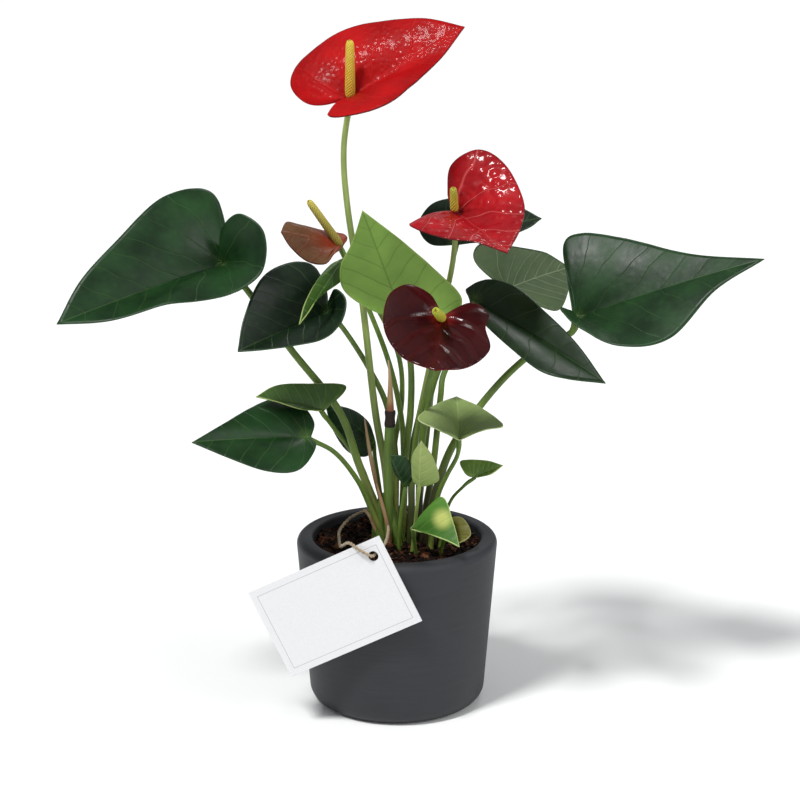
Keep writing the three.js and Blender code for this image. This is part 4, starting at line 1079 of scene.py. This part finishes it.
area = math.pi * (innerRadius(soil["height"]) * mm) ** 2
soilPiece = runTree(soilSurface(), buildSoilTree(), {
    "Chips": soil["chips"] / area, "Chip Size": soil["chipSize"] * mm, "Fibres": soil["fibres"] / area,
    "Fibre Length": soil["fibreLength"] * mm, "Seed": soil["seed"], "Surface": soilMaterial()})
dressed(soilPiece, "soil")
print("soil done:", len(soilPiece.data.polygons), "faces")

# The card is drawn flat with its corner at the origin, then rolled, leant and turned by these degrees.
card = {"width": 86, "height": 55.5, "thickness": 0.8, "holeRadius": 3, "holeInset": (8.5, 9.5),
        "corner": (-61.3, -53.6, 32.8), "turn": -9.3, "lean": 1.4, "roll": 26.9, "holeSides": 40,
        "ruleInset": 4.0, "ruleCore": 0.105, "ruleEdge": 0.21, "rule": "6a6a6c", "ruleShow": 0.55,
        "pulp": (900.0, 1.6, 5.0), "deep": "d8d8da", "ground": "e0e0e1", "relief": 0.03}


def cardMaterial():
    material, tree, shader = newMaterial("whiteCard", Roughness=0.6)
    sheet = partsOf(tree, addNode(tree, "ShaderNodeUVMap", uv_map="sheet").outputs["UV"])
    pulp = patchesOf(tree, objectPlace(tree), *card["pulp"])
    fromEdges = []
    for axis, key in (("X", "width"), ("Y", "height")):
        fromMiddle = calc(tree, "ABSOLUTE", calc(tree, "SUBTRACT", sheet[axis], card[key] / 2))
        fromEdges.append(calc(tree, "SUBTRACT", card[key] / 2, fromMiddle))
    fromEdge = calc(tree, "MINIMUM", *fromEdges)
    offRule = calc(tree, "ABSOLUTE", calc(tree, "SUBTRACT", fromEdge, card["ruleInset"]))
    rule = band(tree, offRule, card["ruleCore"], card["ruleEdge"])
    colour = mixColour(tree, pulp, card["deep"], card["ground"])
    colour = tinted(tree, colour, rule, card["ruleShow"], card["rule"])
    tree.links.new(colour, shader.inputs["Base Color"])
    bumped(tree, shader, calc(tree, "MULTIPLY", pulp, card["relief"]))
    return material


def cardPiece():
    curve = bpy.data.curves.new("tag_card_dressed", "CURVE")
    curve.dimensions = "2D"
    curve.fill_mode = "BOTH"
    curve.extrude = card["thickness"] / 2 * mm
    w, h = card["width"], card["height"]
    holeX, holeY = w - card["holeInset"][0], h - card["holeInset"][1]
    hole = [(holeX + x, holeY + y) for x, y in circle(card["holeRadius"], card["holeSides"])]
    for outline in ([(0, 0), (w, 0), (w, h), (0, h)], hole):
        spline = curve.splines.new("POLY")
        spline.points.add(len(outline) - 1)
        spline.use_cyclic_u = True
        for point, (x, y) in zip(spline.points, outline):
            point.co = (x * mm, y * mm, 0, 1)
    piece = settled(linked("tag_card_dressed", curve))
    piece.data.materials.clear()
    piece.data.materials.append(cardMaterial())
    sheet = piece.data.uv_layers.new(name="sheet")
    for loop, entry in zip(piece.data.loops, sheet.data):
        entry.uv = piece.data.vertices[loop.vertex_index].co.xy / mm
    lean, turn, roll = (math.radians(card[key]) for key in ("lean", "turn", "roll"))
    piece.data.transform(Matrix.Translation(Vector(card["corner"]) * mm) @ Matrix.Rotation(turn, 4, "Z")
                         @ Matrix.Rotation(math.pi / 2 - lean, 4, "X") @ Matrix.Rotation(roll, 4, "Z")
                         @ Matrix.Translation((0, 0, card["thickness"] / 2 * mm)))
    return piece


dressed(cardPiece(), "tag_card")
print("card done")

# The twine's route goes from the crown over the rim, down the card's face, through its hole and back.
twine = {
    "route": [(-14, 1, 117), (-19, 2, 116), (-28, 0, 112), (-34, -8, 107), (-34, -20, 105), (-33, -34, 106),
              (-31, -46, 110.5), (-28.5, -53, 114.3), (-26, -57.4, 115.3), (-23, -60.3, 113.8),
              (-18, -61.9, 111.2), (-14.9, -61.8, 109.5), (-13.4, -60.1, 108.9), (-12.4, -57, 109),
              (-9.5, -51, 109.8), (-7, -42, 110), (-5.5, -30, 110.5), (-5, -20, 111.5), (-5.2, -15.5, 112)],
    "diameter": 2.0, "turnLength": 5.0, "plySides": 8, "step": 0.5, "hairs": 420, "hairLength": 2.2,
    "perSpan": 40, "seed": 7, "across": (0.3, 0.9, 0.2), "plyAcross": (0.31, 0.87, 0.38), "plySpread": 0.85,
    "plyFullness": 1.1, "wobble": 0.12, "wobbleStep": 0.35, "hairRoot": 1.6, "hairThickness": 0.05,
    "hairOut": (0.2, 1), "hairAlong": (-1, 1), "hairReach": (0.3, 0.6),
    "fibres": (1400.0, 2.2, 4.0), "deep": "76634a", "ground": "bca98a", "relief": 0.15}


def twineMaterial():
    material, tree, shader = newMaterial("juteTwine", Roughness=0.9, Sheen_Weight=0.3)
    fibres = patchesOf(tree, objectPlace(tree), *twine["fibres"])
    tree.links.new(mixColour(tree, fibres, twine["deep"], twine["ground"]), shader.inputs["Base Color"])
    bumped(tree, shader, calc(tree, "MULTIPLY", fibres, twine["relief"]))
    return material


def framesAlong(line, start):  # the line's direction at each point, and two more square to it, without twist
    tangents = unit(np.gradient(line, axis=0))
    across, frames = np.cross(tangents[0], start), []
    for tangent in tangents:
        across = unit(across - tangent * np.dot(across, tangent))
        frames.append((tangent, across, np.cross(tangent, across)))
    return frames


def plyTube(centres, radii, first):  # one ply's points and faces, where first is its first point's number
    angles, sides = circleAngles(twine["plySides"]), twine["plySides"]
    cosines, sines = np.cos(angles)[:, None], np.sin(angles)[:, None]
    points, faces = [], []
    for centre, radius, (_, u, v) in zip(centres, radii, framesAlong(centres, twine["plyAcross"])):
        points += (centre + radius * (cosines * u + sines * v)).tolist()
    for row in range(len(centres) - 1):
        faces += ringFaces(sides, first + row * sides)
    end = first + len(points)
    return points, faces + [tuple(range(first + sides - 1, first - 1, -1)), tuple(range(end - sides, end))]


def twinePiece(line):
    length, ply = lengthOf(line), twine["diameter"] / 4
    frames = framesAlong(line, twine["across"])
    dice = random.Random(twine["seed"])
    points, faces = [], []
    for strand in (0, 1):
        turns = 2 * np.pi * np.linspace(0, length, len(line)) / twine["turnLength"] + np.pi * strand
        centres = np.array([p + ply * twine["plySpread"] * (math.cos(a) * u + math.sin(a) * v)
                            for p, a, (_, u, v) in zip(line, turns, frames)])
        wobble = [noise.noise(Vector((k * twine["wobbleStep"], strand * 9, 0))) for k in range(len(line))]
        radii = [ply * twine["plyFullness"] * (1 + twine["wobble"] * w) for w in wobble]
        newPoints, newFaces = plyTube(centres, radii, len(points))
        points += newPoints
        faces += newFaces
    thickness = twine["hairThickness"]
    for _ in range(twine["hairs"]):  # loose fibres, each a thin three-sided needle
        k = dice.randrange(2, len(line) - 3)
        tangent, u, v = frames[k]
        a = dice.uniform(0, 2 * math.pi)
        outward = math.cos(a) * u + math.sin(a) * v
        root = line[k] + outward * ply * twine["hairRoot"]
        sway = outward * dice.uniform(*twine["hairOut"]) + tangent * dice.uniform(*twine["hairAlong"])
        tip = root + sway * dice.uniform(*twine["hairReach"]) * twine["hairLength"]
        a, b, c, d = range(len(points), len(points) + 4)
        points += [(root + thickness * side).tolist() for side in (u, v, -(u + v))] + [tip.tolist()]
        faces += [(a, b, d), (b, c, d), (c, a, d), (c, b, a)]
    return meshObject("twine_loop_dressed", points, faces, [twineMaterial()])


twineLine = throughPoints(twine["route"], twine["perSpan"])
twineLine = evenly(twineLine, int(lengthOf(twineLine) / twine["step"]))
loop = dressed(twinePiece(twineLine), "twine_loop")

# Sizes and places of the studio are in metres, powers in watts, and a sun's spread in degrees.
studio = {"floorSize": 24.0, "floorPatches": (2.0, 0.6), "floorShade": "f0f0ef", "floorTint": "fbfbfa",
          "sky": (0.93, 0.96, 1.0, 1.0), "skyStrength": 0.36, "backdrop": (1, 1, 1, 1), "aim": (0, 0, 0.22),
          "suns": {"key": {"place": (-0.8, -0.9, 2.2), "spread": 11, "power": 2.6},
                   "fill": {"place": (1.6, -1.0, 1.2), "spread": 40, "power": 0.7}},
          "lamps": {"back": {"place": (0.5, 1.3, 1.5), "size": 0.5, "power": 4},
                    "right": {"place": (1.1, -0.9, 1.1), "size": 0.3, "power": 3}}}


def floorMaterial():
    material, tree, shader = newMaterial("paleFloor", Roughness=0.8, Specular_IOR_Level=0.2)
    patches = patchesOf(tree, objectPlace(tree), *studio["floorPatches"])
    colour = mixColour(tree, patches, studio["floorShade"], studio["floorTint"])
    tree.links.new(colour, shader.inputs["Base Color"])
    return material


half = studio["floorSize"] / 2 / mm
floor = meshObject("studio_floor", [(-half, -half, 0), (half, -half, 0), (half, half, 0), (-half, half, 0)],
                   [(0, 1, 2, 3)], [floorMaterial()], smooth=False)
world = bpy.data.worlds.new("studioWorld")
scene.world = world
world.use_nodes = True
sky = world.node_tree
ambient = sky.nodes["Background"]
ambient.inputs["Color"].default_value = studio["sky"]
ambient.inputs["Strength"].default_value = studio["skyStrength"]
backdrop = addNode(sky, "ShaderNodeBackground", {"Color": studio["backdrop"], "Strength": 1.0})
seen = addNode(sky, "ShaderNodeLightPath").outputs["Is Camera Ray"]
either = addNode(sky, "ShaderNodeMixShader", {0: seen, 1: ambient.outputs[0], 2: backdrop.outputs[0]})
sky.links.new(either.outputs[0], sky.nodes["World Output"].inputs["Surface"])
for name, lamp in {**studio["suns"], **studio["lamps"]}.items():
    data = bpy.data.lights.new(name, "SUN" if name in studio["suns"] else "AREA")
    data.energy = lamp["power"]
    if name in studio["suns"]:
        data.angle = math.radians(lamp["spread"])
    else:
        data.shape = "DISK"
        data.size = lamp["size"]
    lampObject = linked(name, data)
    lampObject.location = lamp["place"]
    towards = Vector(studio["aim"]) - lampObject.location
    lampObject.rotation_euler = towards.to_track_quat("-Z", "Y").to_euler()
scene.view_settings.view_transform = "Standard"
print("studio done")
